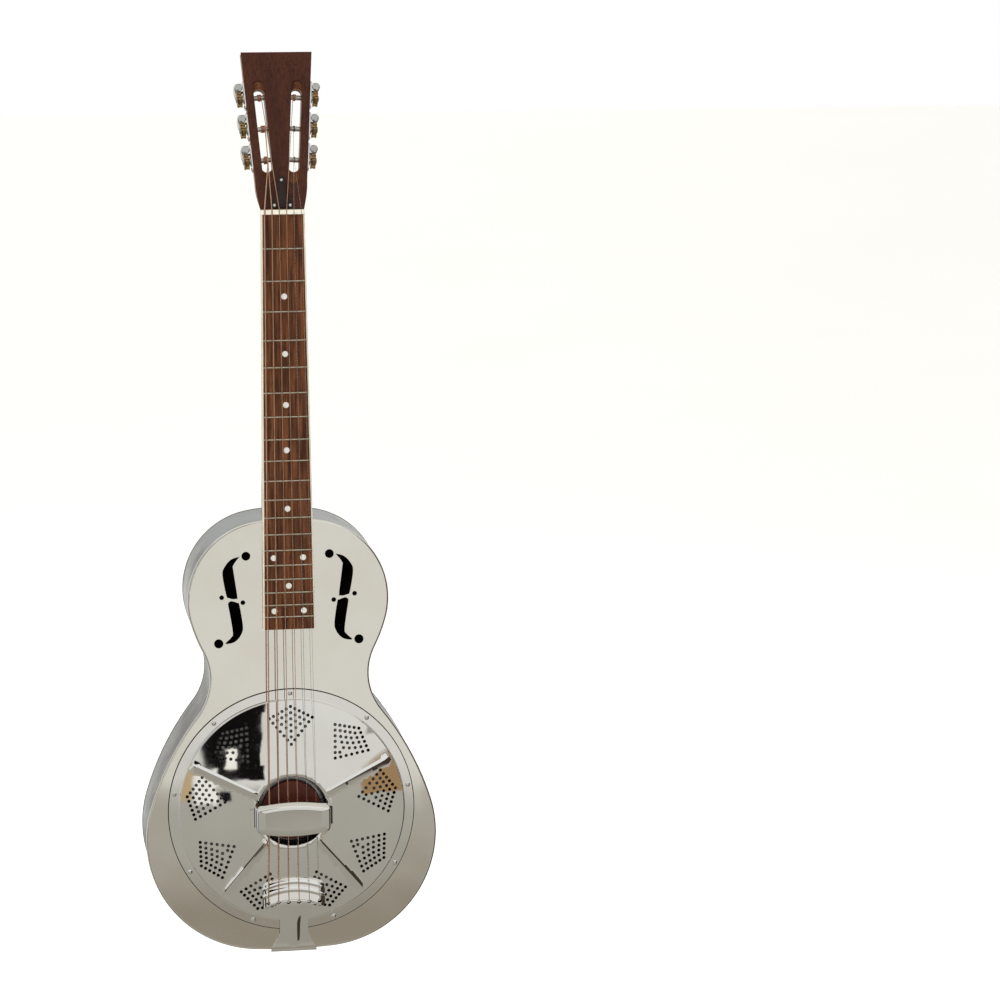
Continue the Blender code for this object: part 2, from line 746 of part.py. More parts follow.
def slot_outline(side):
    """A rounded slot that keeps its distance from the headstock's side."""
    ends = []
    for along in (SLOT_START + SLOT_WIDTH / 2, SLOT_END - SLOT_WIDTH / 2):
        ends.append(Vector((side * (head_half_width(along) - SLOT_INSET), along)))
    direction = (ends[1] - ends[0]).normalized()
    normal = Vector((direction.y, -direction.x))
    outline = []
    for k in range(7):
        angle = math.pi * k / 6
        outline.append(ends[1] + SLOT_WIDTH / 2 * (math.cos(angle) * normal + math.sin(angle) * direction))
    for k in range(7):
        angle = math.pi * k / 6
        outline.append(ends[0] - SLOT_WIDTH / 2 * (math.cos(angle) * normal + math.sin(angle) * direction))
    return [tuple(p) for p in outline]


def slot_cutter(side, material):
    return head_prism("slot", slot_outline(side), -0.002, HEAD_THICKNESS + 0.002, material)


def slot_ramps(side, material):
    """The sloping ways into a slot from both ends, on the slot's full width."""
    stops = (SLOT_START + RAMP_REACH, SLOT_END - RAMP_REACH)
    return [slot_ramp(side, start, stop, material) for start, stop in zip(RAMP_STARTS, stops)]


def slot_ramp(side, start, stop, material):
    sections = []
    for along, depth in ((start, 0.0), (stop, RAMP_DEPTH)):
        centre = side * (head_half_width(max(along, HEAD_SHOULDER)) - SLOT_INSET)
        low, high = centre - SLOT_WIDTH / 2, centre + SLOT_WIDTH / 2
        corners = ((low, -0.002), (high, -0.002), (high, depth), (low, depth))
        sections.append([head_point(x, along, d) for x, d in corners])
    return loft("ramp", sections, material)


def tuner_matrix(side, along):
    """Tuner frame: local X out of the headstock's side, Z to the front, on the roller's axis."""
    slope = math.atan((HEAD_TIP_HALF - HEAD_SHOULDER_HALF) / (HEAD_LENGTH - HEAD_SHOULDER))
    up = Vector((0, math.sin(HEAD_TILT), math.cos(HEAD_TILT)))
    ahead = Vector((0, -math.cos(HEAD_TILT), math.sin(HEAD_TILT)))
    out = Vector((side, 0, 0)) * math.cos(slope) - up * math.sin(slope)
    across = ahead.cross(out)
    origin = head_point(side * head_half_width(along), along, ROLLER_DEPTH)
    matrix = Matrix((out, across, ahead)).transposed().to_4x4()
    matrix.translation = origin
    return matrix


POST_INNER = SLOT_INSET + SLOT_WIDTH / 2 + 0.0050    # length of the post inside the headstock's side


def roller_hole(side, along, material):
    """Bearing hole of one post: through the side wall, and a blind one in the middle wall."""
    radius = ROLLER_RADIUS + ROLLER_CLEARANCE
    end = -(POST_INNER + GAP)
    profile = ((0, end), (radius, end), (radius, 0.004), (0, 0.004))
    hole = lathe("roller_hole", profile, material, 12, "X")
    hole.matrix_world = tuner_matrix(side, along)
    return hole


def build_head_veneer(material):
    stations = [0.0007, 0.006, 0.013, 0.022, HEAD_SHOULDER, HEAD_LENGTH]
    right = [(head_half_width(along), along) for along in stations]
    outline = right + [(-x, along) for x, along in reversed(right)]
    veneer = head_prism("head_veneer", outline, 0.0, VENEER, material)
    for side in (-1, 1):
        for cutter in [slot_cutter(side, material), *slot_ramps(side, material)]:
            combine(veneer, cutter, "DIFFERENCE")


def fret_z(number):
    return Z_NUT - SCALE_LENGTH * (1 - 2 ** (-number / 12))


def build_fingerboard(material):
    """A tapered board whose side profile carries the frets as low ridges across it."""
    base = front(-GAP)
    top = front(-NECK_TOP)
    profile = [(Z_BOARD_END, base), (Z_BOARD_END, top)]
    for number in range(FRET_COUNT, 0, -1):
        z = fret_z(number)
        half = FRET_WIDTH / 2
        profile += [
            (z - half, top), (z - half / 2, top - FRET_HEIGHT), (z + half / 2, top - FRET_HEIGHT), (z + half, top)
        ]
    profile += [(Z_NUT - GAP, top), (Z_NUT - GAP, base)]
    sections = []
    for side in (-1, 1):
        sections.append([(side * board_half_width(z), y, z) for z, y in profile])
    loft("fingerboard", sections, material)


def build_nut(material):
    base = front(-GAP)
    crest = front(-NUT_TOP)
    half = NUT_WIDTH / 2
    outline = ((-half, base), (half, base), (half, crest + 0.0005), (half - 0.0015, crest),
               (-half + 0.0015, crest), (-half, crest + 0.0005))
    prism("nut", outline, Z_NUT, Z_NUT + NUT_THICKNESS - GAP, "Z", material)


def build_truss_rod(material):
    profile = (
        (0, Z_BODY_TOP + 0.015), (0.0025, Z_BODY_TOP + 0.015), (0.0025, Z_NUT + 0.004),
        (0.0032, Z_NUT + 0.004), (0.0032, Z_NUT + 0.013), (0, Z_NUT + 0.013),
    )
    lathe("truss_rod", profile, material, 10, "Z", location=(0, front(0.0045), 0))


def build_truss_cover(material):
    """A bell-shaped cover over the rod's end, lying on the veneer."""
    right = ((0.0110, 0.0020), (0.0112, 0.0050), (0.0090, 0.0105), (0.0062, 0.0165), (0.0046, 0.0240),
             (0.0036, 0.0310), (0.0018, 0.0342))
    outline = list(right) + [(0.0, 0.0350)] + [(-x, along) for x, along in reversed(right)]
    head_prism("truss_rod_cover", outline, -GAP - 0.002, -GAP, material)


# ---------------------------------------------------------------- tuners
def build_gear_mesh(material):
    """Worm wheel with a bore; its first tooth points at the worm."""
    pitch = 2 * math.pi / GEAR_TEETH
    tip = 0.0005 / GEAR_TIP_RADIUS
    root = 0.0009 / GEAR_ROOT_RADIUS
    outline = []
    for k in range(GEAR_TEETH):
        middle = k * pitch
        for offset, radius in ((-root, GEAR_ROOT_RADIUS), (-tip, GEAR_TIP_RADIUS), (tip, GEAR_TIP_RADIUS),
                               (root, GEAR_ROOT_RADIUS)):
            angle = middle + offset
            outline.append((radius * math.cos(angle), radius * math.sin(angle)))
    bore = circle_points((0, 0), 0.0025, 10)
    wheel = prism("gear", outline, GEAR_INNER_X, GEAR_INNER_X + GEAR_WIDTH, "X", material, [bore])
    return detach_mesh(wheel)


def detach_mesh(obj):
    mesh = obj.data
    bpy.data.objects.remove(obj, do_unlink=True)
    return mesh


def thread_share(z, angle):
    """Height of the worm's thread from 0 to 1 at a height and an angle about its axis."""
    phase = z / WORM_LEAD - (angle - math.pi / 2) / (2 * math.pi)
    distance = abs(phase - round(phase)) * WORM_LEAD
    crest, foot = 0.0004, 0.00085
    share = min(max((foot - distance) / (foot - crest), 0.0), 1.0)
    fade = min((WORM_HALF_LENGTH - abs(z)) / 0.0006, 1.0)
    return share * max(fade, 0.0)


def build_button_mesh(side, material):
    """Worm shaft about the local Z axis: collar in front, worm, and the flat oval button behind.

    The button's long side lies along the headstock at rest.
    """
    segments = 10
    rows = 12
    collar = EAR_Z + EAR_THICKNESS + GAP
    button = (
        (0.0022, 0.0022, 0.0), (0.0030, 0.0022, 0.0018), (0.0085, 0.0034, 0.0042),
        (BUTTON_LONG / 2, BUTTON_SHORT / 2, 0.0074), (0.0066, 0.0023, BUTTON_HEIGHT),
    )
    rings = [(across, along, -BUTTON_START - drop) for along, across, drop in reversed(button)]
    rings += [(SHAFT_RADIUS, SHAFT_RADIUS, z) for z in (-BUTTON_START, -WORM_HALF_LENGTH)]
    for row in range(rows + 1):
        rings.append((None, None, WORM_HALF_LENGTH * (2 * row / rows - 1)))
    rings += [(radius, radius, z) for radius, z in (
        (SHAFT_RADIUS, WORM_HALF_LENGTH), (SHAFT_RADIUS, collar), (0.0038, collar),
        (0.0040, collar + 0.0008), (0.0030, collar + 0.0016),
    )]
    sections = []
    for across, along, z in rings:
        ring = []
        for k in range(segments):
            angle = 2 * math.pi * k / segments
            if across is None:
                radius = WORM_CORE + (WORM_RADIUS - WORM_CORE) * thread_share(z, angle)
                ring.append((radius * math.cos(angle), side * radius * math.sin(angle), z))
            else:
                ring.append((across * math.cos(angle), side * along * math.sin(angle), z))
        sections.append(ring)
    return detach_mesh(loft("button", sections, material))


def build_post_mesh(material):
    """String roller with its seat for the wheel and the wheel's screw head."""
    seat = GEAR_INNER_X - GAP
    outer = GEAR_INNER_X + GEAR_WIDTH + GAP
    profile = (
        (0, -POST_INNER), (ROLLER_RADIUS, -POST_INNER), (ROLLER_RADIUS, seat), (0.0022, seat),
        (0.0022, outer), (0.0038, outer), (0.0034, outer + 0.0013), (0, outer + 0.0013),
    )
    return detach_mesh(lathe("post", profile, material, 12, "X"))


def build_plate_mesh(side, material):
    """Base plate with the two ears that carry the worm's shaft."""
    thickness = 0.0012
    low, high = (-0.0110, 0.0180)
    hole = circle_points((0, 0), ROLLER_RADIUS + ROLLER_CLEARANCE, 12)
    half = 0.0068
    outline = [(side * low, -half + 0.002), (side * low, half - 0.002), (side * (low + 0.003), half),
               (side * (high - 0.003), half), (side * high, half - 0.002), (side * high, -half + 0.002),
               (side * (high - 0.003), -half), (side * (low + 0.003), -half)]
    plate = prism("plate", outline, GAP, GAP + thickness, "X", material, [hole])
    shaft_x = GEAR_INNER_X + GEAR_WIDTH / 2
    shaft_hole = circle_points((shaft_x, side * WORM_OFFSET), SHAFT_RADIUS + 0.0003, 10)
    reach = shaft_x + 0.0036
    ear = [(GAP + thickness / 2, side * (WORM_OFFSET - 0.0042)), (reach - 0.0014, side * (WORM_OFFSET - 0.0042)),
           (reach, side * (WORM_OFFSET - 0.0020)), (reach, side * (WORM_OFFSET + 0.0020)),
           (reach - 0.0014, side * (WORM_OFFSET + 0.0042)), (GAP + thickness / 2, side * (WORM_OFFSET + 0.0042))]
    for z in (EAR_Z, -EAR_Z - EAR_THICKNESS):
        combine(plate, prism("ear", ear, z, z + EAR_THICKNESS, "Z", material, [shaft_hole]), "UNION")
    return detach_mesh(plate)


def place_mesh(name, mesh, parent, location=(0, 0, 0)):
    obj = bpy.data.objects.new(name, mesh)
    bpy.context.collection.objects.link(obj)
    obj.parent = parent
    obj.location = location
    return obj


def build_tuners(steel, brass, chrome):
    """Three tuners a side: 1 to 3 on the bass side from the nut up, 4 to 6 on the treble side downwards."""
    gear = build_gear_mesh(brass)
    post = build_post_mesh(steel)
    shaft_x = GEAR_INNER_X + GEAR_WIDTH / 2
    for side in (-1, 1):
        button = build_button_mesh(side, chrome)
        plate = build_plate_mesh(side, chrome)
        for k, along in enumerate(TUNER_POSITIONS):
            number = k + 1 if side < 0 else 6 - k
            frame = make_empty(f"tuner_{number}", tuner_matrix(side, along))
            place_mesh(f"tuner_{number}_plate", plate, frame)
            place_mesh(f"tuner_{number}_post", post, frame)
            place_mesh(f"tuner_{number}_gear", gear, frame)
            place_mesh(f"tuner_{number}_button", button, frame, (shaft_x, side * WORM_OFFSET, 0))


# ---------------------------------------------------------------- strings
def build_strings(wound, plain):
    """Each string from its hole in the tailpiece over saddle and nut to its roller."""
    for k, diameter in enumerate(STRING_DIAMETERS):
        radius = diameter / 2
        offset = k - 2.5
        over_saddle = SADDLE_TOP + GAP + radius
        over_nut = NUT_TOP + GAP + radius
        along = TUNER_POSITIONS[STRING_POSTS[k]]
        touch = ROLLER_DEPTH - ROLLER_RADIUS - GAP - radius
        route = [
            Vector((TAIL_PITCH * offset, front(-0.0095), TAIL_STRING_Z - 0.0005)),
            Vector((TAIL_PITCH * offset, front(-0.0116), TAIL_STRING_Z + 0.0008)),
            Vector((STRING_PITCH_SADDLE * offset, front(-over_saddle), Z_SADDLE - SADDLE_THICKNESS - 0.0008)),
            Vector((STRING_PITCH_SADDLE * offset, front(-over_saddle), Z_SADDLE)),
            Vector((STRING_PITCH_NUT * offset, front(-over_nut), Z_NUT)),
            Vector((STRING_PITCH_NUT * offset, front(-over_nut), Z_NUT + NUT_THICKNESS)),
            head_point(STRING_POST_X[k], along, touch),
        ]
        material = wound if k < 4 else plain
        tube(f"string_{k + 1}", route, radius, 6, material)


# ---------------------------------------------------------------- assembly
def main():
    clear_scene()
    nickel = make_material("nickel", (0.80, 0.79, 0.76), 0.06, 1.0)
    chrome = make_material("chrome", (0.82, 0.82, 0.82), 0.08, 1.0)
    steel = make_material("steel", (0.55, 0.55, 0.55), 0.3, 1.0)
    brass = make_material("brass", (0.78, 0.60, 0.28), 0.3, 1.0)
    aluminium = make_material("aluminium", (0.75, 0.76, 0.77), 0.3, 1.0)
    mahogany = make_material("mahogany", (0.28, 0.13, 0.05), 0.35, 0.0)
    veneer = make_material("veneer", (0.09, 0.035, 0.02), 0.3, 0.0)
    rosewood = make_material("rosewood", (0.17, 0.07, 0.035), 0.45, 0.0)
    maple = make_material("maple", (0.20, 0.06, 0.03), 0.5, 0.0)
    bone = make_material("bone", (0.85, 0.83, 0.75), 0.4, 0.0)
    black = make_material("black_plastic", (0.02, 0.015, 0.015), 0.3, 0.0)
    bronze = make_material("bronze_winding", (0.62, 0.36, 0.22), 0.35, 1.0)

    build_front_plate(nickel)
    build_side_band(nickel)
    build_back_plate(nickel)
    build_soundwell(nickel)
    build_cone(aluminium)
    build_biscuit(maple, steel)
    build_saddle(maple)
    build_cover(chrome)
    build_cover_screws(chrome)
    build_handrest(chrome)
    build_tailpiece(chrome)
    build_strap_button(chrome)
    build_neck_stick(mahogany)
    build_neck(mahogany)
    build_head_veneer(veneer)
    build_fingerboard(rosewood)
    build_nut(bone)
    build_truss_rod(steel)
    build_truss_cover(black)
    build_tuners(steel, brass, chrome)
    build_strings(bronze, steel)


main()
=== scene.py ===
"""Metal-bodied resonator guitar: the detailed pieces, their materials and the studio.

Metres, in the frame of the CAD model: +Z up the neck, -Y the playing side, +X the treble side.
Heights count forwards from the front plate's surface and depths backwards from it.
"""
import json
import math

import bmesh
import bpy
from mathutils import Matrix, Vector
from mathutils.geometry import delaunay_2d_cdt
from mathutils.kdtree import KDTree


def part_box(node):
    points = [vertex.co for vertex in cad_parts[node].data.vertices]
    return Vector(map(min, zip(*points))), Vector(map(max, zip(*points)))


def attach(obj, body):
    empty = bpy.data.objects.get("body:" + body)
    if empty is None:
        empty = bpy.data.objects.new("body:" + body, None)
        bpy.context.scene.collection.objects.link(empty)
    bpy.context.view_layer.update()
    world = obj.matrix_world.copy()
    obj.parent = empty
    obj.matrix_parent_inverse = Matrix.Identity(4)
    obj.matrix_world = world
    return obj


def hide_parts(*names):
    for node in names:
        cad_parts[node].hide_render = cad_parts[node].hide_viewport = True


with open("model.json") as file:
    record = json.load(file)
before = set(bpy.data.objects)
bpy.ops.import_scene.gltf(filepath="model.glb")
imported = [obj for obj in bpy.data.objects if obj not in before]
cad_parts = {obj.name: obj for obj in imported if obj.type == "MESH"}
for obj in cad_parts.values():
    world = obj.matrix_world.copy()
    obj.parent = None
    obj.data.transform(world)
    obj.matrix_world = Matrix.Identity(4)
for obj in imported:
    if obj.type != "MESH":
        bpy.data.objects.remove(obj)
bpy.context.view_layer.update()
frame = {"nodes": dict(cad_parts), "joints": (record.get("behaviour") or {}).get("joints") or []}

# ---------------------------------------------------------------- places read from the frame
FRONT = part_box("front_plate")[0].y              # front plate's surface
BAND_LOW, BAND_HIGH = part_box("side_band")
BODY_BOTTOM, BODY_TOP = BAND_LOW.z, BAND_HIGH.z
BACK_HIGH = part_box("back_plate")[1]
COVER_LOW, COVER_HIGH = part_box("coverplate")
Z_CONE = (COVER_LOW.z + COVER_HIGH.z) / 2
COVER_RADIUS = (COVER_HIGH.x - COVER_LOW.x) / 2
Z_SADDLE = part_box("saddle")[1].z
SADDLE_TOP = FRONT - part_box("saddle")[0].y
Z_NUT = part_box("nut")[0].z
NUT_THICKNESS = 0.005
NUT_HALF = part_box("nut")[1].x
NUT_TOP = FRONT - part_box("nut")[0].y
BOARD_LOW, BOARD_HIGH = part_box("fingerboard")
SCALE_LENGTH = Z_NUT - Z_SADDLE
HANDREST_LOW, HANDREST_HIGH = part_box("handrest")
TAIL_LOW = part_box("tailpiece")[0]
JOINTS = {joint["name"]: joint for joint in frame["joints"]}

# ---------------------------------------------------------------- driving dimensions
GAP = 0.0003
SHEET = 0.0012
BEAD = 0.0019               # rounding of the body's edges
BEAD_DROP = 0.0014
BODY_ARCS = (               # half the outline from the neck end: radius, degrees turned
    (0.214, 9.5), (0.085, 96.0), (0.162, 11.5), (-0.064, 65.0), (0.306, 21.0), (0.123, 102.5),
)
ARC_STEP = math.radians(2.4)
BACK_RIM = 0.0135
BACK_REACH = 0.056          # inset where the arch has its full height
BACK_CROWN = 0.15           # share of the arch that only the middle reaches
PLATE_SPACING = 0.016       # distance of the points inside the front plate, the back and the cover
BACK_SPACING = 0.009

SOUND_HOLE_ROUNDS = (       # x, height over the saddle, radius
    (0.0440, 0.2766, 0.0047), (0.0742, 0.1840, 0.0049), (0.0702, 0.2332, 0.0025), (0.0480, 0.2272, 0.0025),
)
SOUND_HOLE_LEAVES = (       # curve points of the upper and the lower leaf, x and height over the saddle
    (
        (0.0506, 0.2764), (0.0597, 0.2735), (0.0668, 0.2655), (0.0689, 0.2570), (0.0652, 0.2352),
        (0.0622, 0.2324), (0.0580, 0.2312), (0.0550, 0.2316), (0.0537, 0.2336), (0.0574, 0.2615),
        (0.0573, 0.2675),
    ),
    (
        (0.0638, 0.2266), (0.0618, 0.2288), (0.0590, 0.2290), (0.0540, 0.2272), (0.0517, 0.2246),
        (0.0484, 0.2020), (0.0502, 0.1935), (0.0548, 0.1872), (0.0605, 0.1842), (0.0672, 0.1840),
        (0.0612, 0.1900), (0.0592, 0.1965),
    ),
)

WELL_RADIUS = 0.1210
COVER_SHEET = 0.0010
COVER_SCREWS = 9
COVER_SCREW_CIRCLE = 0.1263
COVER_DOME_RADIUS = 0.1194
COVER_OPENING = 0.0375
COVER_STEP = 0.0040
COVER_RISE = 0.0050
COVER_SEGMENTS = 240
HANDREST_CORNER = 0.0052
HANDREST_SHEET = 0.001
COVER_SPACING = 0.0042
RIBS = (                    # angle from the neck side, outer end, half widths at both ends, height, crest
    (63.5, 0.1176, 0.0034, 0.0044, 0.0015, -0.30),
    (296.5, 0.1176, 0.0034, 0.0044, 0.0015, -0.30),
    (140.0, 0.1150, 0.0021, 0.0026, 0.0009, -0.2),
    (220.0, 0.1150, 0.0021, 0.0026, 0.0009, -0.2),
)
RIB_INNER = 0.0405
HOLE_RADIUS = 0.0018
KITE_APEX = 0.1126          # radii of a hole group's outer apex and inner tip
KITE_TIP = 0.0723
KITE_SIDE = (0.0228, 0.1003)    # half width of the group and the radius it lies at

BINDING_WIDTH = 0.0015
FRET_HALF = 0.0009           # half width and height of a fret's crown
FRET_RISE = 0.0010
DOT_RADIUS = 0.0031
DOTS = [(0.0, n) for n in (3, 5, 7, 9, 12, 17)] + [(s * 0.0155, n) for n in (15, 19) for s in (-1, 1)]

HEAD_TILT = math.radians(15.0)
HEAD_LENGTH = 0.166
HEAD_THICKNESS = 0.016
VENEER = 0.0015
HEAD_SHOULDER = 0.030
HEAD_SHOULDER_HALF = 0.0270
HEAD_TIP_HALF = 0.0370
HEAD_FACE_OFFSET = 0.0040
SLOT_INSET = 0.0142
SLOT_WIDTH = 0.0110
SLOT_ENDS = (0.0400, 0.1280)
RAMP_ENDS = (0.0250, 0.1364)    # where the slots' sloping ends reach the face
RAMP_DEPTH = 0.0072
NECK_DEPTH_NUT = 0.0150
NECK_DEPTH_HEEL = 0.0190
HEEL_DEPTH = 0.0815
HEEL_CAP_LENGTH = 0.0290
HEEL_SECTIONS = (           # rise over the body's neck end, depth before the cap cuts it off, squareness
    (0.0, 0.112, 1.25), (0.006, 0.105, 1.22), (0.012, 0.098, 1.19), (0.018, 0.0915, 1.16),
    (0.024, 0.0862, 1.13), (HEEL_CAP_LENGTH, HEEL_DEPTH, 1.10), (0.034, 0.0715, 1.06), (0.040, 0.0585, 1.02),
    (0.047, 0.0450, 0.97), (0.055, 0.0335, 0.92), (0.064, 0.0255, 0.88), (0.074, 0.0208, 0.86),
    (0.086, NECK_DEPTH_HEEL, 0.85),
)

ROLLER_DEPTH = 0.0085
ROLLER_RADIUS = 0.0030
ROLLER_HOLE_RADIUS = 0.00335
GEAR_TEETH = 14
GEAR_WIDTH = 0.0050
TOOTH = (                   # share of the pitch from the tooth's middle, radius
    (-0.5, 0.0064), (-0.30, 0.0065), (-0.155, 0.0074), (-0.085, 0.0079), (0.085, 0.0079), (0.155, 0.0074),
    (0.30, 0.0065),
)
GEAR_OUT = 0.0060           # wheel's middle from the headstock's side
WORM_RADIUS = 0.0042
WORM_CORE = 0.0029
WORM_HALF = 0.0041
THREAD_HALF = 0.00090
THREAD_FLANK = 0.0005
WORM_LEAD = 2 * math.pi * 0.0075 / GEAR_TEETH
SHAFT_RADIUS = 0.0015
EAR_Z = 0.0046
EAR_THICKNESS = 0.0012
POST_INNER = 0.0247
GEAR_END = GEAR_OUT + GEAR_WIDTH / 2 + GAP
BUTTON_SEAT = 0.0098        # where the worm's shaft enters the button
COLLAR_RADIUS = 0.0041
TUNER_PLATE = (-0.0110, 0.0180, 0.0068, 0.0030)     # low and high end, half width, corner radius
TUNER_PLATE_SCREWS = (-0.0086, 0.0158)
TUNER_POSITIONS = (0.0524, 0.0852, 0.1181)

STRING_DIAMETERS = (0.00135, 0.00107, 0.00081, 0.00066, 0.00041, 0.00030)
STRING_PITCH_NUT = 0.0076
STRING_PITCH_SADDLE = 0.0100
STRING_POSTS = (0, 1, 2, 2, 1, 0)
STRING_POST_X = (-0.0124, -0.0141, -0.0169, 0.0159, 0.0152, 0.0146)
TAIL_PITCH = 0.0110
TAIL_STRING_Z = Z_SADDLE - 0.0960
SCREWS = {                  # radius, rise of the head, length, 1 for a slot or 2 for a cross
    "cover": (0.0026, 0.0011, 0.006, 2), "truss cover": (0.0017, 0.0008, 0.003, 2),
    "tuner plate": (0.0019, 0.0008, 0.004, 1), "wheel": (0.0036, 0.0012, 0.0005, 1),
    "button": (0.0016, 0.0005, 0.001, 1), "strap": (0.0021, 0.0008, 0.001, 2),
}
TAIL_BEND_ROWS = 10         # rows of the tailpiece under the tail and round its bend
TAIL_SHEET = 0.0013
TAIL_FOOT_HALF = 0.0244      # half widths at the bend, at the end under the tail, and of the bar
TAIL_END_HALF = 0.0165
TAIL_BAR_HALF = 0.0333
TAIL_TOP = 0.0832           # upper edge over the body's tail end
STRING_HOLE_RADIUS = 0.0023
STRING_HOLE_Z = TAIL_STRING_Z - 0.0014
BUTTON_HOLE_RADIUS = 0.0024

ALONG_X = Matrix(((0, 0, 1, 0), (1, 0, 0, 0), (0, 1, 0, 0), (0, 0, 0, 1)))      # turns local Z into X
TO_FRONT = Matrix(((1, 0, 0, 0), (0, 0, -1, 0), (0, 1, 0, 0), (0, 0, 0, 1)))    # turns local Z into -Y


# ---------------------------------------------------------------- shader helpers
def put(tree, socket, value):
    """Links another node's socket, or sets a constant; a colour of three numbers gets its alpha."""
    if isinstance(value, bpy.types.NodeSocket):
        tree.links.new(value, socket)
    elif socket.type == "RGBA" and len(value) == 3:
        socket.default_value = (*value, 1.0)
    else:
        socket.default_value = value


def add(tree, kind, inputs=None, **settings):
    """A shader node with its settings, and its inputs set or linked."""
    made = tree.nodes.new("ShaderNode" + kind)
    for key, value in settings.items():
        setattr(made, key, value)
    for key, value in (inputs or {}).items():
        put(tree, made.inputs[key], value)
    return made


def new_material(name, **constants):
    """A Principled material, its constant sockets, and its object coordinates."""
    material = bpy.data.materials.new(name)
    material.use_nodes = True
    tree = material.node_tree
    shader = tree.nodes["Principled BSDF"]
    for key, value in constants.items():
        shader.inputs[key.replace("_", " ")].default_value = value
    place = add(tree, "TexCoord").outputs["Object"]
    return material, tree, shader, place


def stained(tree, shader, factor, colour, tint):
    """Two colours mixed by a factor, as the base colour."""
    put(tree, shader.inputs["Base Color"], mix_colour(tree, factor, colour, tint))


def stretched(tree, place, scale):
    return add(tree, "Mapping", {"Vector": place, "Scale": scale}).outputs["Vector"]


def noise(tree, place, scale, detail=3.0, roughness=0.55):
    inputs = {"Vector": place, "Scale": scale, "Detail": detail, "Roughness": roughness}
    return add(tree, "TexNoise", inputs).outputs["Fac"]


def spread(tree, value, low, high, out_low, out_high):
    """Maps a value's range smoothly to another range."""
    inputs = {"Value": value, "From Min": low, "From Max": high, "To Min": out_low, "To Max": out_high}
    return add(tree, "MapRange", inputs, interpolation_type="SMOOTHSTEP").outputs["Result"]


def math_node(tree, operation, first, second=0.0):
    """The result of a sum, product or function of sockets and numbers."""
    made = add(tree, "Math", operation=operation)
    for socket, value in zip(made.inputs, (first, second)):
        put(tree, socket, value)
    return made.outputs[0]


def mix_colour(tree, factor, first, second):
    made = add(tree, "Mix", data_type="RGBA")
    for index, value in ((0, factor), (6, first), (7, second)):
        put(tree, made.inputs[index], value)
    return made.outputs[2]


def bump(tree, shader, height, distance, strength=1.0, before=None):
    inputs = {"Height": height, "Distance": distance, "Strength": strength}
    if before is not None:
        inputs["Normal"] = before
    made = add(tree, "Bump", inputs)
    tree.links.new(made.outputs["Normal"], shader.inputs["Normal"])
    return made.outputs["Normal"]


# ---------------------------------------------------------------- materials
def polished_metal(name, colour, tint, smooth, worn, wave, edge=1.0):
    """Mirror plate: faint smudges and hairlines in the gloss, a slightly wavy surface."""
    material, tree, shader, place = new_material(name, Metallic=1.0, Specular_Tint=(edge, edge, edge, 1.0))
    patches = noise(tree, place, 14.0, 5.0, 0.6)
    hairs = noise(tree, stretched(tree, place, (900.0, 900.0, 60.0)), 1.0, 2.0, 0.7)
    stained(tree, shader, spread(tree, patches, 0.35, 0.7, 0.0, 1.0), colour, tint)
    smudge = spread(tree, patches, 0.42, 0.72, smooth, worn)
    hair = spread(tree, hairs, 0.66, 0.80, 0.0, 0.05)
    put(tree, shader.inputs["Roughness"], math_node(tree, "ADD", smudge, hair))
    swell = noise(tree, place, 13.0, 1.0, 0.3)
    first = bump(tree, shader, swell, wave)
    pits = spread(tree, noise(tree, place, 900.0, 2.0, 0.6), 0.70, 0.78, 0.0, 1.0)
    bump(tree, shader, pits, -0.00001, 0.5, first)
    return material


def dull_metal(name, colour, dark, low, high, scale):
    """Satin metal with soft stains and a fine grain."""
    material, tree, shader, place = new_material(name, Metallic=1.0)
    stain = noise(tree, place, scale, 5.0, 0.6)
    stained(tree, shader, spread(tree, stain, 0.35, 0.70, 0.0, 1.0), colour, dark)
    put(tree, shader.inputs["Roughness"], spread(tree, stain, 0.3, 0.7, low, high))
    grain = noise(tree, stretched(tree, place, (1.0, 1.0, 0.08)), 2600.0, 2.0, 0.6)
    bump(tree, shader, grain, 0.00002)
    return material


def spun_metal(name, colour):
    """Aluminium turned about the cone's axis: fine rings."""
    material, tree, shader, place = new_material(name, Metallic=1.0)
    centred = add(tree, "Mapping", {"Vector": place, "Location": (0.0, 0.0, -Z_CONE)}).outputs["Vector"]
    flat = add(tree, "VectorMath", {0: centred, 1: (1.0, 0.0, 1.0)}, operation="MULTIPLY").outputs["Vector"]
    radius = add(tree, "VectorMath", {0: flat}, operation="LENGTH").outputs["Value"]
    rings = noise(tree, add(tree, "CombineXYZ", {"X": radius}).outputs["Vector"], 1500.0, 3.0, 0.7)
    put(tree, shader.inputs["Roughness"], spread(tree, rings, 0.3, 0.7, 0.26, 0.44))
    stained(tree, shader, rings, colour, tuple(0.8 * c for c in colour))
    bump(tree, shader, rings, 0.00006)
    return material


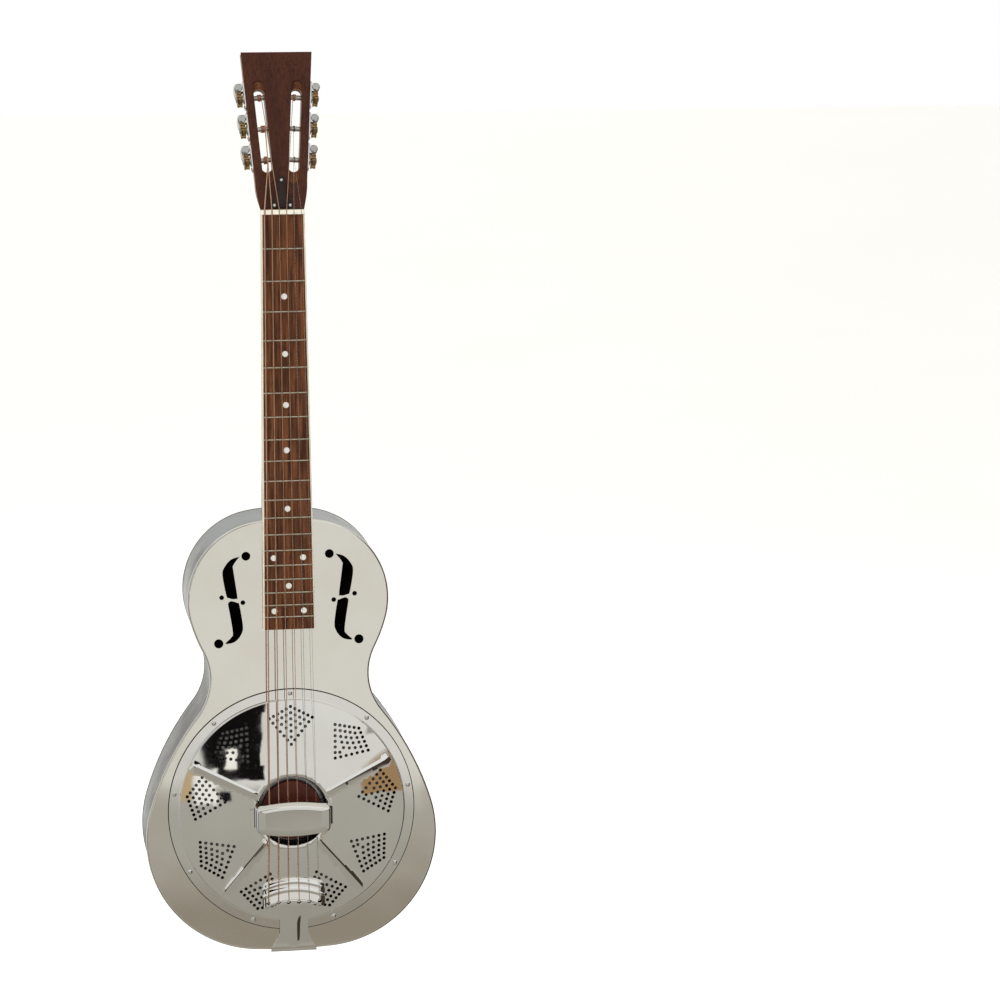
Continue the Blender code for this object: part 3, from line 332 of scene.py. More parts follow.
def wood(name, dark, light, pore, figure, grain_scale, pore_size, gloss, coat):
    """Straight-grained wood along Z: broad figure, fine streaks, open pores and a lacquer coat."""
    material, tree, shader, place = new_material(name, Coat_Weight=coat, Coat_Roughness=0.12,
                                                 Specular_IOR_Level=0.22)
    bent = noise(tree, stretched(tree, place, (1.0, 1.0, 0.25)), 14.0, 2.0, 0.5)
    shift = add(tree, "CombineXYZ", {"X": math_node(tree, "MULTIPLY", bent, 0.012)}).outputs["Vector"]
    warped = add(tree, "VectorMath", {0: place, 1: shift}, operation="ADD").outputs["Vector"]
    broad = noise(tree, stretched(tree, warped, (1.0, 1.0, 0.05)), figure, 3.0, 0.55)
    fine = noise(tree, stretched(tree, warped, (1.0, 1.0, 0.018)), grain_scale, 4.0, 0.7)
    body = mix_colour(tree, spread(tree, broad, 0.32, 0.68, 0.0, 1.0), dark, light)
    streaked = mix_colour(tree, spread(tree, fine, 0.46, 0.70, 0.0, 0.75), body, pore)
    holes = noise(tree, stretched(tree, warped, (1.0, 1.0, 0.045)), pore_size, 2.0, 0.5)
    dashes = spread(tree, holes, 0.60, 0.68, 0.0, 1.0)
    stained(tree, shader, math_node(tree, "MULTIPLY", dashes, 0.8), streaked, pore)
    put(tree, shader.inputs["Roughness"], spread(tree, fine, 0.3, 0.7, gloss, gloss + 0.16))
    first = bump(tree, shader, fine, 0.00005)
    bump(tree, shader, dashes, -0.00007, 1.0, first)
    return material


def mottled(name, colour, tint, low, high, scale, grain, **constants):
    """Bone, celluloid and plastic: cloudy colour, uneven gloss and a faint surface grain."""
    material, tree, shader, place = new_material(name, **constants)
    clouds = noise(tree, place, scale, 4.0, 0.6)
    stained(tree, shader, spread(tree, clouds, 0.35, 0.65, 0.0, 1.0), colour, tint)
    put(tree, shader.inputs["Roughness"], spread(tree, clouds, 0.3, 0.7, low, high))
    bump(tree, shader, noise(tree, place, grain, 3.0, 0.6), 0.00002)
    return material


def pearl(name):
    """Inlay shell: bands of cream, green and rose that follow a warped layer pattern."""
    material, tree, shader, place = new_material(name, Coat_Weight=0.6, Coat_Roughness=0.08)
    layers = add(tree, "TexWave", {"Vector": place, "Scale": 60.0, "Distortion": 9.0, "Detail": 3.0,
                                   "Detail Scale": 1.4}).outputs["Fac"]
    warm = mix_colour(tree, spread(tree, layers, 0.1, 0.6, 0.0, 1.0), (0.70, 0.69, 0.63), (0.62, 0.66, 0.62))
    tree.links.new(mix_colour(tree, spread(tree, layers, 0.6, 1.0, 0.0, 0.6), warm, (0.72, 0.65, 0.61)),
                   shader.inputs["Base Color"])
    put(tree, shader.inputs["Roughness"], spread(tree, layers, 0.0, 1.0, 0.18, 0.34))
    bump(tree, shader, layers, 0.00001)
    return material


def wire(name, colour, dark, pitch):
    """String wire; a pitch winds it: painted highlight on the crests and painted shade in the valleys along
    its length, varied by wear.
    """
    material, tree, shader, place = new_material(name, Metallic=1.0)
    wear = noise(tree, stretched(tree, place, (1.0, 1.0, 0.3)), 300.0, 3.0, 0.6)
    put(tree, shader.inputs["Roughness"], spread(tree, wear, 0.3, 0.7, 0.36, 0.52))
    turns = add(tree, "TexWave", {"Vector": place, "Scale": math.pi / (10.0 * pitch)}, bands_direction="Z")
    # Painted shade in the valleys between the turns and painted highlight on the crests, mixed with wear.
    shade = math_node(tree, "MULTIPLY", turns.outputs["Fac"], wear)
    stained(tree, shader, spread(tree, shade, 0.05, 0.45, 0.0, 1.0), dark, colour)
    bump(tree, shader, turns.outputs["Fac"], pitch * 0.08)
    return material


FINISHES = {
    "nickel": (polished_metal("mirror_nickel", (0.86, 0.85, 0.81), (0.83, 0.81, 0.76), 0.010, 0.045, 0.00030),
               "body_nickel"),
    # A darker, bluer and rougher copy of the body nickel for the side band: its darkness is painted shade.
    "shaded_side_nickel": (polished_metal("shaded_side_nickel", (0.39, 0.41, 0.42), (0.36, 0.38, 0.39), 0.16, 0.28,
                                   0.0003, 0.68), "body_nickel"),
    "chrome": (polished_metal("mirror_chrome", (0.86, 0.86, 0.85), (0.82, 0.82, 0.81), 0.010, 0.050, 0.0002),
               "hardware_chrome"),
    "collar": (polished_metal("worn_chrome", (0.50, 0.50, 0.49), (0.42, 0.42, 0.41), 0.10, 0.22, 0.0001),
               "hardware_chrome"),
    # Near-black metal, painted shade: the inside of the body and the shadow gap round the cover's rim.
    "inside": (dull_metal("dark_metal_painted_shade", (0.055, 0.042, 0.036), (0.025, 0.018, 0.015), 0.5, 0.75, 30.0),
               "body_nickel"),
    "aluminium": (spun_metal("spun_aluminium", (0.62, 0.63, 0.64)), "spun_aluminium"),
    "steel": (dull_metal("plated_steel", (0.58, 0.58, 0.57), (0.38, 0.37, 0.36), 0.16, 0.34, 260.0), "steel"),
    "fret": (dull_metal("fret_wire", (0.72, 0.66, 0.53), (0.56, 0.50, 0.40), 0.26, 0.42, 260.0), "steel"),
    "brass": (dull_metal("cut_brass", (0.52, 0.36, 0.16), (0.34, 0.22, 0.10), 0.22, 0.42, 420.0), "brass"),
    "mahogany": (wood("mahogany", (0.180, 0.062, 0.014), (0.320, 0.130, 0.030), (0.065, 0.018, 0.006),
                      38.0, 420.0, 1500.0, 0.30, 0.12), "mahogany"),
    "veneer": (wood("head_veneer", (0.044, 0.011, 0.005), (0.066, 0.018, 0.007), (0.019, 0.005, 0.003),
                    55.0, 520.0, 1900.0, 0.34, 0.04), "dark_veneer"),
    "ramp_wood": (wood("ramp_mahogany", (0.085, 0.026, 0.009), (0.150, 0.050, 0.016), (0.035, 0.011, 0.005),
                       60.0, 500.0, 1700.0, 0.40, 0.1), "mahogany"),
    "rosewood": (wood("rosewood", (0.048, 0.014, 0.005), (0.185, 0.060, 0.018), (0.018, 0.006, 0.002),
                      300.0, 900.0, 2400.0, 0.45, 0.02), "rosewood"),
    "biscuit": (wood("stained_maple", (0.060, 0.013, 0.008), (0.095, 0.022, 0.012), (0.030, 0.007, 0.005),
                     70.0, 600.0, 2200.0, 0.45, 0.04), "stained_maple"),
    "maple": (wood("saddle_maple", (0.30, 0.17, 0.08), (0.42, 0.26, 0.13), (0.20, 0.10, 0.05),
                   80.0, 700.0, 2600.0, 0.45, 0.0), "maple"),
    "bone": (mottled("bone", (0.83, 0.80, 0.70), (0.74, 0.70, 0.58), 0.28, 0.45, 180.0, 1500.0,
                     Subsurface_Weight=0.12, Subsurface_Scale=0.002), "bone"),
    "binding": (mottled("cream_binding", (0.68, 0.63, 0.51), (0.60, 0.54, 0.42), 0.25, 0.42, 60.0, 900.0,
                        Coat_Weight=0.3), "bone"),
    "pearl": (pearl("inlay_pearl"), "bone"),
    "black": (mottled("dark_cover", (0.016, 0.009, 0.009), (0.026, 0.015, 0.014), 0.30, 0.46, 120.0, 1300.0,
                      Specular_IOR_Level=0.2), "black_plastic"),
    # Each string's second colour is painted shade in the valleys of its turns.
    "wound": (wire("wound_bronze", (1.0, 0.69, 0.50), (0.86, 0.54, 0.38), 0.00042), "wound_string"),
    "plain": (wire("plain_steel", (0.72, 0.72, 0.70), (0.48, 0.48, 0.47), 0.004), "plain_string"),
}


# ---------------------------------------------------------------- shapes: lists of points and faces
def lathe(profile, segments, closed=False):
    """Turns (radius, z) points about Z; its ends lie on the axis unless the profile is a loop."""
    verts = []
    rings = []
    for radius, height in profile:
        if radius < 1e-9:
            rings.append([len(verts)])
            verts.append(Vector((0.0, 0.0, height)))
            continue
        rings.append(list(range(len(verts), len(verts) + segments)))
        for k in range(segments):
            angle = 2 * math.pi * k / segments
            verts.append(Vector((radius * math.cos(angle), radius * math.sin(angle), height)))
    pairs = list(zip(rings, rings[1:]))
    if closed:
        pairs.append((rings[-1], rings[0]))
    faces = []
    for lower, upper in pairs:
        for k in range(segments):
            n = (k + 1) % segments
            if len(lower) == 1 and len(upper) == 1:
                continue
            if len(lower) == 1:
                faces.append((lower[0], upper[n], upper[k]))
            elif len(upper) == 1:
                faces.append((lower[k], lower[n], upper[0]))
            else:
                faces.append((lower[k], lower[n], upper[n], upper[k]))
    return verts, faces


def cylinder(radius, low, high, segments=24):
    """A drill about Z, for round holes."""
    return lathe([(0, low), (radius, low), (radius, high), (0, high)], segments)


def loft(sections, caps=True, ring=False):
    """Joins equal loops of points; caps close the ends and ring joins the last loop to the first."""
    size = len(sections[0])
    verts = [Vector(p) for section in sections for p in section]
    faces = []
    if caps and not ring:
        faces += [tuple(reversed(range(size))), tuple(range(len(verts) - size, len(verts)))]
    rows = len(sections)
    for row in range(rows if ring else rows - 1):
        base, following = row * size, (row + 1) % rows * size
        for k in range(size):
            n = (k + 1) % size
            faces.append((base + k, base + n, following + n, following + k))
    return verts, faces


def tube(route, radius, sides):
    """A round tube along a route of points."""
    sections = []
    for i, point in enumerate(route):
        along = (Vector(route[min(i + 1, len(route) - 1)]) - Vector(route[max(i - 1, 0)])).normalized()
        helper = Vector((1, 0, 0)) if abs(along.x) < 0.8 else Vector((0, 0, 1))
        across = along.cross(helper).normalized()
        other = along.cross(across)
        turns = [2 * math.pi * k / sides for k in range(sides)]
        sections.append([Vector(point) + radius * (math.cos(a) * across + math.sin(a) * other)
                         for a in turns])
    return loft(sections)


def moved(shape, matrix):
    return [matrix @ v for v in shape[0]], shape[1]


def joined(*shapes):
    verts, faces = [], []
    for more_verts, more_faces in shapes:
        start = len(verts)
        verts += more_verts
        faces += [tuple(start + i for i in face) for face in more_faces]
    return verts, faces


def circle(centre, radius, count, phase=0.0):
    turns = [phase + 2 * math.pi * k / count for k in range(count)]
    return [(centre[0] + radius * math.cos(a), centre[1] + radius * math.sin(a)) for a in turns]


def inside(loop, x, z):
    """Whether a point lies inside a closed outline."""
    result = False
    for (ax, az), (bx, bz) in zip(loop, loop[1:] + loop[:1]):
        if (az > z) != (bz > z) and x < (bx - ax) * (z - az) / (bz - az) + ax:
            result = not result
    return result


def stamped(loops, spacing, height, thickness, solid, lines=(), open_loops=(), base=FRONT, outwards=-1):
    """A formed sheet: triangles between loops in plan, raised by height(x, z), with a back and walls.

    The loops in open_loops get no wall, because another shape continues the sheet there.
    """
    points, edges, seams = [], [], set()
    for number, loop in enumerate(loops):
        start = len(points)
        points += loop
        edges += [(start + k, start + (k + 1) % len(loop)) for k in range(len(loop))]
        if number in open_loops:
            seams |= {(round(x, 6), round(z, 6)) for x, z in loop}
    for line in lines:
        start = len(points)
        points += line
        edges += [(start + k, start + k + 1) for k in range(len(line) - 1)]
    tree = KDTree(len(points))
    for k, (x, z) in enumerate(points):
        tree.insert((x, z, 0), k)
    tree.balance()
    xs, zs = [p[0] for p in loops[0]], [p[1] for p in loops[0]]
    row = 0
    z = min(zs)
    inner = []
    while z < max(zs):
        x = min(xs) + (row % 2) * spacing / 2
        while x < max(xs):
            if tree.find((x, z, 0))[2] > spacing * 0.55 and solid(x, z):
                inner.append((x, z))
            x += spacing
        row += 1
        z += spacing * 0.866
    plan, _, triangles, *_ = delaunay_2d_cdt([Vector(p) for p in points + inner], edges, [], 0, 1e-7, True)
    kept = []
    for triangle in triangles:
        middle = sum((plan[i] for i in triangle), Vector((0, 0))) / 3
        if solid(middle.x, middle.y):
            kept.append(tuple(triangle))
    count = len(plan)
    verts = [Vector((p.x, base + outwards * height(p.x, p.y), p.y)) for p in plan]
    verts += [v - Vector((0, outwards * thickness, 0)) for v in verts]
    faces = kept + [tuple(count + i for i in reversed(t)) for t in kept]
    used = {}
    for a, b, c in kept:
        for pair in ((a, b), (b, c), (c, a)):
            used[tuple(sorted(pair))] = used.get(tuple(sorted(pair)), 0) + 1
    for (a, b), times in used.items():
        on_seam = all((round(plan[i].x, 6), round(plan[i].y, 6)) in seams for i in (a, b))
        if times == 1 and not on_seam:
            faces.append((a, b, count + b, count + a))
    return verts, faces


def piece(name, shape, finish, nodes=(), body="guitar", sharp=32.0, second=None):
    """A named piece that rides on a body; second is (finish, test of a face) for a part of its faces."""
    mesh = bpy.data.meshes.new(name)
    mesh.from_pydata([tuple(v) for v in shape[0]], [], shape[1])
    work = bmesh.new()
    work.from_mesh(mesh)
    bmesh.ops.remove_doubles(work, verts=work.verts, dist=2e-6)
    loose = [v for v in work.verts if not v.link_faces]
    bmesh.ops.delete(work, geom=loose, context="VERTS")
    bmesh.ops.recalc_face_normals(work, faces=work.faces)
    work.to_mesh(mesh)
    work.free()
    mesh.shade_smooth()
    mesh.set_sharp_from_angle(angle=math.radians(sharp))
    material, slot = FINISHES[finish]
    mesh.materials.append(material)
    if second:
        mesh.materials.append(FINISHES[second[0]][0])
        for polygon in mesh.polygons:
            if second[1](polygon):
                polygon.material_index = 1
    obj = bpy.data.objects.new(name, mesh)
    bpy.context.collection.objects.link(obj)
    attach(obj, body)
    if nodes:
        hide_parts(*nodes)
    return obj


def cut(obj, cutters):
    """Takes shapes away from an object, one after another, and shades it again."""
    for shape in cutters:
        mesh = bpy.data.meshes.new("cutter")
        mesh.from_pydata([tuple(v) for v in shape[0]], [], shape[1])
        work = bmesh.new()
        work.from_mesh(mesh)
        bmesh.ops.recalc_face_normals(work, faces=work.faces)
        work.to_mesh(mesh)
        work.free()
        tool = bpy.data.objects.new("cutter", mesh)
        bpy.context.collection.objects.link(tool)
        modifier = obj.modifiers.new("cut", "BOOLEAN")
        modifier.object = tool
        modifier.operation = "DIFFERENCE"
        modifier.material_mode = "INDEX"
        bpy.context.view_layer.update()
        graph = bpy.context.evaluated_depsgraph_get()
        result = bpy.data.meshes.new_from_object(obj.evaluated_get(graph))
        obj.modifiers.clear()
        result.name = obj.name
        obj.data = result
        bpy.data.objects.remove(tool, do_unlink=True)
    obj.data.shade_smooth()
    obj.data.set_sharp_from_angle(angle=math.radians(32))


# ---------------------------------------------------------------- body
def half_outline(inset):
    """Half of the body's outline from the neck end: tangent arcs, the last one closing on X = 0."""
    heading = 0.0
    x, z = 0.0, BODY_TOP - inset
    points = [(x, z)]
    spans = [(radius - inset, math.radians(turn)) for radius, turn in BODY_ARCS]
    turned = sum(math.copysign(turn, radius) for radius, turn in spans)
    spans.append((None, math.pi - turned))
    for radius, turn in spans:
        if radius is None:
            radius = x / math.sin(turn)
        side = math.copysign(1.0, radius)
        steps = math.ceil(turn / ARC_STEP)
        centre_x = x + radius * math.sin(heading)
        centre_z = z - radius * math.cos(heading)
        for k in range(1, steps + 1):
            angle = heading - side * turn * k / steps
            x = centre_x - radius * math.sin(angle)
            z = centre_z + radius * math.cos(angle)
            points.append((x, z))
        heading -= side * turn
    return points


def body_outline(inset):
    half = half_outline(inset)
    half[-1] = (0.0, half[-1][1])
    return half + [(-x, z) for x, z in reversed(half[1:-1])]


def curve(a, b, c, d, t):
    """Catmull-Rom: the share t of the way from b to c, for numbers or points."""
    return 0.5 * (2 * b + (c - a) * t + (2 * a - 5 * b + 4 * c - d) * t * t
                  + (3 * b - a - 3 * c + d) * t ** 3)


def smooth_loop(points, steps):
    """A closed Catmull-Rom curve through points whose first one is kept as a sharp tip."""
    result = []
    count = len(points)
    for i in range(count):
        p0, p1, p2, p3 = (points[(i + k) % count] for k in (-1, 0, 1, 2))
        if i == 0:
            p0 = p1
        if i == count - 1:
            p3 = p2
        for s in range(steps):
            t = s / steps
            result.append(tuple(curve(*four, t) for four in zip(p0, p1, p2, p3)))
    return result


def sound_holes():
    holes = []
    for side in (-1, 1):
        for x, height, radius in SOUND_HOLE_ROUNDS:
            holes.append(circle((side * x, Z_SADDLE + height), radius, 28))
        for leaf in SOUND_HOLE_LEAVES:
            holes.append([(side * x, Z_SADDLE + height) for x, height in smooth_loop(leaf, 6)])
    return holes


def edge_rings(surface, outwards):
    """Rings of the rounded edge from the flat of a plate outwards, down, and back under the plate."""
    rings = []
    for k in range(10):
        angle = math.radians(10 * k)
        inset = BEAD * (1 - math.sin(angle))
        drop = BEAD_DROP * (1 - math.cos(angle))
        rings.append([(x, surface - outwards * drop, z) for x, z in body_outline(inset)])
    under = surface - outwards * SHEET
    rings.append([(x, under - outwards * 0.0003, z) for x, z in body_outline(0.0)])
    rings.append([(x, under, z) for x, z in body_outline(BEAD)])
    return rings


def build_front_plate():
    flat = body_outline(BEAD)
    support = body_outline(BEAD + 0.0004)
    well = circle((0, Z_CONE), WELL_RADIUS, 120)
    holes = sound_holes()
    boxes = []
    for loop in holes:
        xs, zs = [p[0] for p in loop], [p[1] for p in loop]
        boxes.append((min(xs), max(xs), min(zs), max(zs), loop))

    def solid(x, z):
        if math.hypot(x, z - Z_CONE) < WELL_RADIUS or not inside(flat, x, z):
            return False
        for left, right, bottom, top, loop in boxes:
            if left < x < right and bottom < z < top and inside(loop, x, z):
                return False
        return True

    plate = stamped([flat, support, well, *holes], PLATE_SPACING, lambda x, z: 0.0, SHEET, solid,
                    open_loops=(0,))
    border = loft(edge_rings(FRONT, -1), caps=False)
    # The plate's back, facing into the body, gets the near-black metal: painted shade.
    piece("front_plate_visual", joined(plate, border), "nickel", ["front_plate"],
          second=("inside", lambda face: face.normal.y > 0.7))


def arch(inset):
    """Share of the back's arch at an inset from the edge: flat rim, then a quick rise."""
    if inset <= BACK_RIM:
        return 0.0
    share = min((inset - BACK_RIM) / (BACK_REACH - BACK_RIM), 1.0)
    eased = share * share / (share + 0.035) * 1.035
    return 1 - (1 - min(eased, 1.0)) ** 2.3


def build_back_plate():
    rise = BACK_HIGH.y - (BAND_HIGH.y + SHEET + GAP)
    rim = BACK_HIGH.y - rise
    middle = (BODY_BOTTOM + BODY_TOP) / 2

    def raised(x, z, share):
        crown = (1 - (x / 0.16) ** 2) * (1 - ((z - middle) / 0.27) ** 2)
        return rise * share * (1 - BACK_CROWN + BACK_CROWN * crown)

    edge = edge_rings(rim, 1)
    outer = list(reversed(edge[:-2]))
    insets = [BEAD + 0.0004, 0.007, BACK_RIM] + [BACK_RIM + 0.0008 * k for k in range(1, 8)]
    insets += [0.0215, 0.024, 0.027, 0.030, 0.034, 0.038, 0.043, 0.049, BACK_REACH]
    for inset in insets:
        outer.append([(x, rim + raised(x, z, arch(inset)), z) for x, z in body_outline(inset)])
    inner = [[(x, y - SHEET, z) for x, y, z in ring] for ring in reversed(outer[len(edge) - 2:])]
    border = loft(inner + [edge[-1], edge[-2]] + outer, caps=False)
    reach = body_outline(BACK_REACH)
    crown = stamped([reach], BACK_SPACING, lambda x, z: raised(x, z, 1.0), SHEET,
                    lambda x, z: inside(reach, x, z), open_loops=(0,), base=rim, outwards=1)
    # The plate's inner face gets the near-black metal: painted shade inside the body.
    piece("back_plate_visual", joined(border, crown), "nickel", ["back_plate"],
          second=("inside", lambda face: face.normal.y < -0.7))


def build_side_band():
    low = FRONT + SHEET + 0.0001
    high = BAND_HIGH.y + GAP - 0.0001
    rows = [low + (high - low) * k / 6 for k in range(7)]
    outer = [[(x, y, z) for x, z in body_outline(0.0003)] for y in rows]
    inner = [[(x, y, z) for x, z in body_outline(0.0003 + SHEET)] for y in (high, low)]
    count = len(outer[0])
    verts, faces = loft(outer + inner, ring=True)
    first_inner = 7 * count
    # The band wears the darker copy of the nickel, painted shade; its inner wall gets the near-black metal,
    # painted shade inside the body.
    band = piece("side_band_visual", (verts, faces), "shaded_side_nickel", ["side_band"])
    band.data.materials.append(FINISHES["inside"][0])
    for polygon in band.data.polygons:
        if min(polygon.vertices) >= first_inner:
            polygon.material_index = 1


# ---------------------------------------------------------------- cover
def dome_height(radius):
    return COVER_STEP + COVER_RISE * (1 - (radius / COVER_DOME_RADIUS) ** 2)


def polar(degrees, radius, across=0.0):
    """A point on the cover by its angle from the neck side, clockwise for the player, and its radius."""
    angle = math.radians(degrees)
    x = radius * math.sin(angle) + across * math.cos(angle)
    z = radius * math.cos(angle) - across * math.sin(angle)
    return x, Z_CONE + z


def kite_points():
    """(across, radius) of the holes of one group: two edges of 6, two of 7, and rows between them."""
    half, wide = KITE_SIDE
    points = []
    for side in (-1, 1):
        for k in range(1, 6):
            points.append((side * half * k / 5, KITE_APEX + (wide - KITE_APEX) * k / 5))
        for k in range(1, 6):
            points.append((side * half * (1 - k / 6), wide + (KITE_TIP - wide) * k / 6))
    points += [(0.0, KITE_APEX), (0.0, KITE_TIP), (0.0, 0.0802)]
    for i in range(1, 5):
        for j in range(1, 5):
            row, off = min(i, j) - 1, i - j
            radius = 0.1061 - 0.00655 * row - abs(off) * (0.00255 + 0.00025 * row)
            points.append((off * (0.00475 + 0.0002 * row), radius))
    return points


def rib_share(x, z):
    """Height that the nearest pressed rib adds to the dome; its crest lies nearer to the neck."""
    added = 0.0
    for degrees, outer, inner_half, outer_half, height, crest in RIBS:
        angle = math.radians(degrees)
        along = x * math.sin(angle) + (z - Z_CONE) * math.cos(angle)
        if not RIB_INNER < along < outer:
            continue
        share = (along - RIB_INNER) / (outer - RIB_INNER)
        half = inner_half + (outer_half - inner_half) * share
        fade = min((along - RIB_INNER) / 0.004, (outer - along) / 0.0035, 1.0)
        across = (x * math.cos(angle) - (z - Z_CONE) * math.sin(angle)) * math.copysign(1.0, x) / half
        if abs(across) < 1:
            slope = (1 + across) / (1 + crest) if across < crest else (1 - across) / (1 - crest)
            added = height * fade * (slope - 0.10 * math.exp(-((across - crest) * 8) ** 2))
    return added


def build_cover():
    seam_out, seam_in = COVER_DOME_RADIUS - 0.0012, COVER_OPENING + 0.0012
    outer = circle((0, Z_CONE), seam_out, COVER_SEGMENTS)
    inner = circle((0, Z_CONE), seam_in, COVER_SEGMENTS // 2)
    centres = []
    for k in range(COVER_SCREWS):
        for across, radius in kite_points():
            centres.append(polar(360.0 * k / COVER_SCREWS, radius, across))
    tree = KDTree(len(centres))
    for k, (x, z) in enumerate(centres):
        tree.insert((x, z, 0), k)
    tree.balance()
    lines = []
    for degrees, end, inner_half, outer_half, _, crest in RIBS:
        sign = 1 if degrees < 180 else -1
        for side in (-1.0, crest - 0.12, crest, crest + 0.12, 1.0):
            line = []
            for k in range(25):
                share = k / 24
                radius = RIB_INNER + (end - RIB_INNER) * share
                half = inner_half + (outer_half - inner_half) * share
                line.append(polar(degrees, radius, sign * side * half))
            lines.append(line)

    def solid(x, z):
        radius = math.hypot(x, z - Z_CONE)
        if not seam_in * 0.9995 < radius < seam_out:
            return False
        return tree.find((x, z, 0))[2] > HOLE_RADIUS * 0.98

    def height(x, z):
        return dome_height(math.hypot(x, z - Z_CONE)) + rib_share(x, z)

    holes = [circle(centre, HOLE_RADIUS, 14) for centre in centres]
    sheet = stamped([outer, inner, *holes], COVER_SPACING, height, COVER_SHEET, solid, lines,
                    open_loops=(0, 1))
    top = GAP + COVER_SHEET
    rim = [(seam_out, dome_height(seam_out)), (COVER_DOME_RADIUS, dome_height(COVER_DOME_RADIUS))]
    rim += [(COVER_DOME_RADIUS + 0.0003, COVER_STEP - 0.0003),
            (COVER_DOME_RADIUS + 0.0005, COVER_STEP - 0.0008), (COVER_DOME_RADIUS + 0.0008, top + 0.0004),
            (COVER_DOME_RADIUS + 0.0011, top + 0.0001), (COVER_DOME_RADIUS + 0.0015, top),
            (COVER_DOME_RADIUS + 0.0021, top)]
    rim += [(COVER_RADIUS - 0.0016, top), (COVER_RADIUS - 0.0013, top), (COVER_RADIUS - 0.0009, top),
            (COVER_RADIUS - 0.0005, top - 0.0002), (COVER_RADIUS - 0.0001, top - 0.0006),
            (COVER_RADIUS, GAP + 0.0001), (COVER_RADIUS - 0.0010, GAP)]
    rim += [(COVER_DOME_RADIUS + 0.0010, GAP), (seam_out, dome_height(seam_out) - COVER_SHEET)]
    lip = [(seam_in, dome_height(seam_in)), (COVER_OPENING + 0.0005, dome_height(COVER_OPENING) - 0.0001),
           (COVER_OPENING, dome_height(COVER_OPENING) - 0.0006),
           (COVER_OPENING + 0.0002, dome_height(COVER_OPENING) - COVER_SHEET),
           (seam_in, dome_height(seam_in) - COVER_SHEET)]
    turn = Matrix.Translation((0, FRONT, Z_CONE)) @ TO_FRONT
    rings = [moved(lathe(rim, COVER_SEGMENTS), turn), moved(lathe(lip, COVER_SEGMENTS // 2), turn)]

    # Painted shadow: the sheet's back and a thin ring at the rim's outer edge get the near-black metal, in
    # place of the shadow in the gap against the front plate.
    def in_shadow(face):
        radius = math.hypot(face.center.x, face.center.z - Z_CONE)
        return face.normal.y > 0.8 or radius > COVER_RADIUS - 0.0009

    piece("coverplate_visual", joined(sheet, *rings), "chrome", ["coverplate"], sharp=24.0,
          second=("inside", in_shadow))


def screw(radius, rise, length, arms, segments=40):
    """A round-headed screw about +Z: its head stands on z = 0, arms is 1 for a slot and 2 for a cross."""
    rings = []
    width, reach = radius * 0.17, radius * (1.2 if arms == 1 else 0.62)
    shares = [0.0, 0.1, 0.18, 0.28, 0.4, 0.52, 0.6, 0.68, 0.8, 0.9, 0.97, 1.0]
    for share in shares[1:]:
        ring = []
        for k in range(segments):
            angle = 2 * math.pi * k / segments
            x, y = radius * share * math.cos(angle), radius * share * math.sin(angle)
            height = rise * math.sqrt(max(1 - share ** 2.4, 0.0))
            arm = abs(y) < width and abs(x) < reach or arms == 2 and abs(x) < width and abs(y) < reach
            if arm:
                height = max(height - rise * 0.55, 0.0)
            ring.append(Vector((x, y, height)))
        rings.append(ring)
    rings.append([Vector((p.x, p.y, -0.0001)) for p in rings[-1]])
    shank = radius * 0.45
    for z in (-0.0001, -length):
        turns = [2 * math.pi * k / segments for k in range(segments)]
        rings.append([Vector((shank * math.cos(a), shank * math.sin(a), z)) for a in turns])
    return loft(rings)


def facing_front(x, height, z, turn=0.0):
    """Puts a shape made about +Z on the front, facing the player."""
    return Matrix.Translation((x, FRONT - height, z)) @ TO_FRONT @ Matrix.Rotation(turn, 4, "Z")


def build_cover_screws():
    for k in range(COVER_SCREWS):
        x, z = polar(360.0 * k / COVER_SCREWS, COVER_SCREW_CIRCLE)
        shape = moved(screw(*SCREWS["cover"]),
                      facing_front(x, GAP + COVER_SHEET + 0.0001, z, 0.7 * k))
        piece(f"cover_screw_{k + 1}", shape, "chrome", [f"coverplate_screw_{k + 1}"])


# ---------------------------------------------------------------- handrest, saddle and biscuit
def barrel(half, reach, bow, corner, inset_side, inset_top, inset_bottom):
    """A four-sided outline with bowed long sides and rounded corners, moved inwards by three insets."""
    wide = half - inset_side
    points = []
    for side in (1, -1):
        inset = inset_top if side > 0 else inset_bottom
        turn = max(corner - inset, 0.0008)
        arc = [(wide - turn + turn * math.cos(a), turn * math.sin(a)) for a in
               (math.radians(90 * k / 6) for k in range(7))]
        straight = [((wide - turn) * (1 - 2 * k / 24), turn) for k in range(1, 24)]
        across = arc + straight + [(-x, up) for x, up in reversed(arc)]
        if side < 0:
            across = [(-x, up) for x, up in across]
        for x, up in across:
            limit = reach - inset + bow * (1 - (x / half) ** 2)
            points.append((x, side * (limit - turn + up)))
    return points


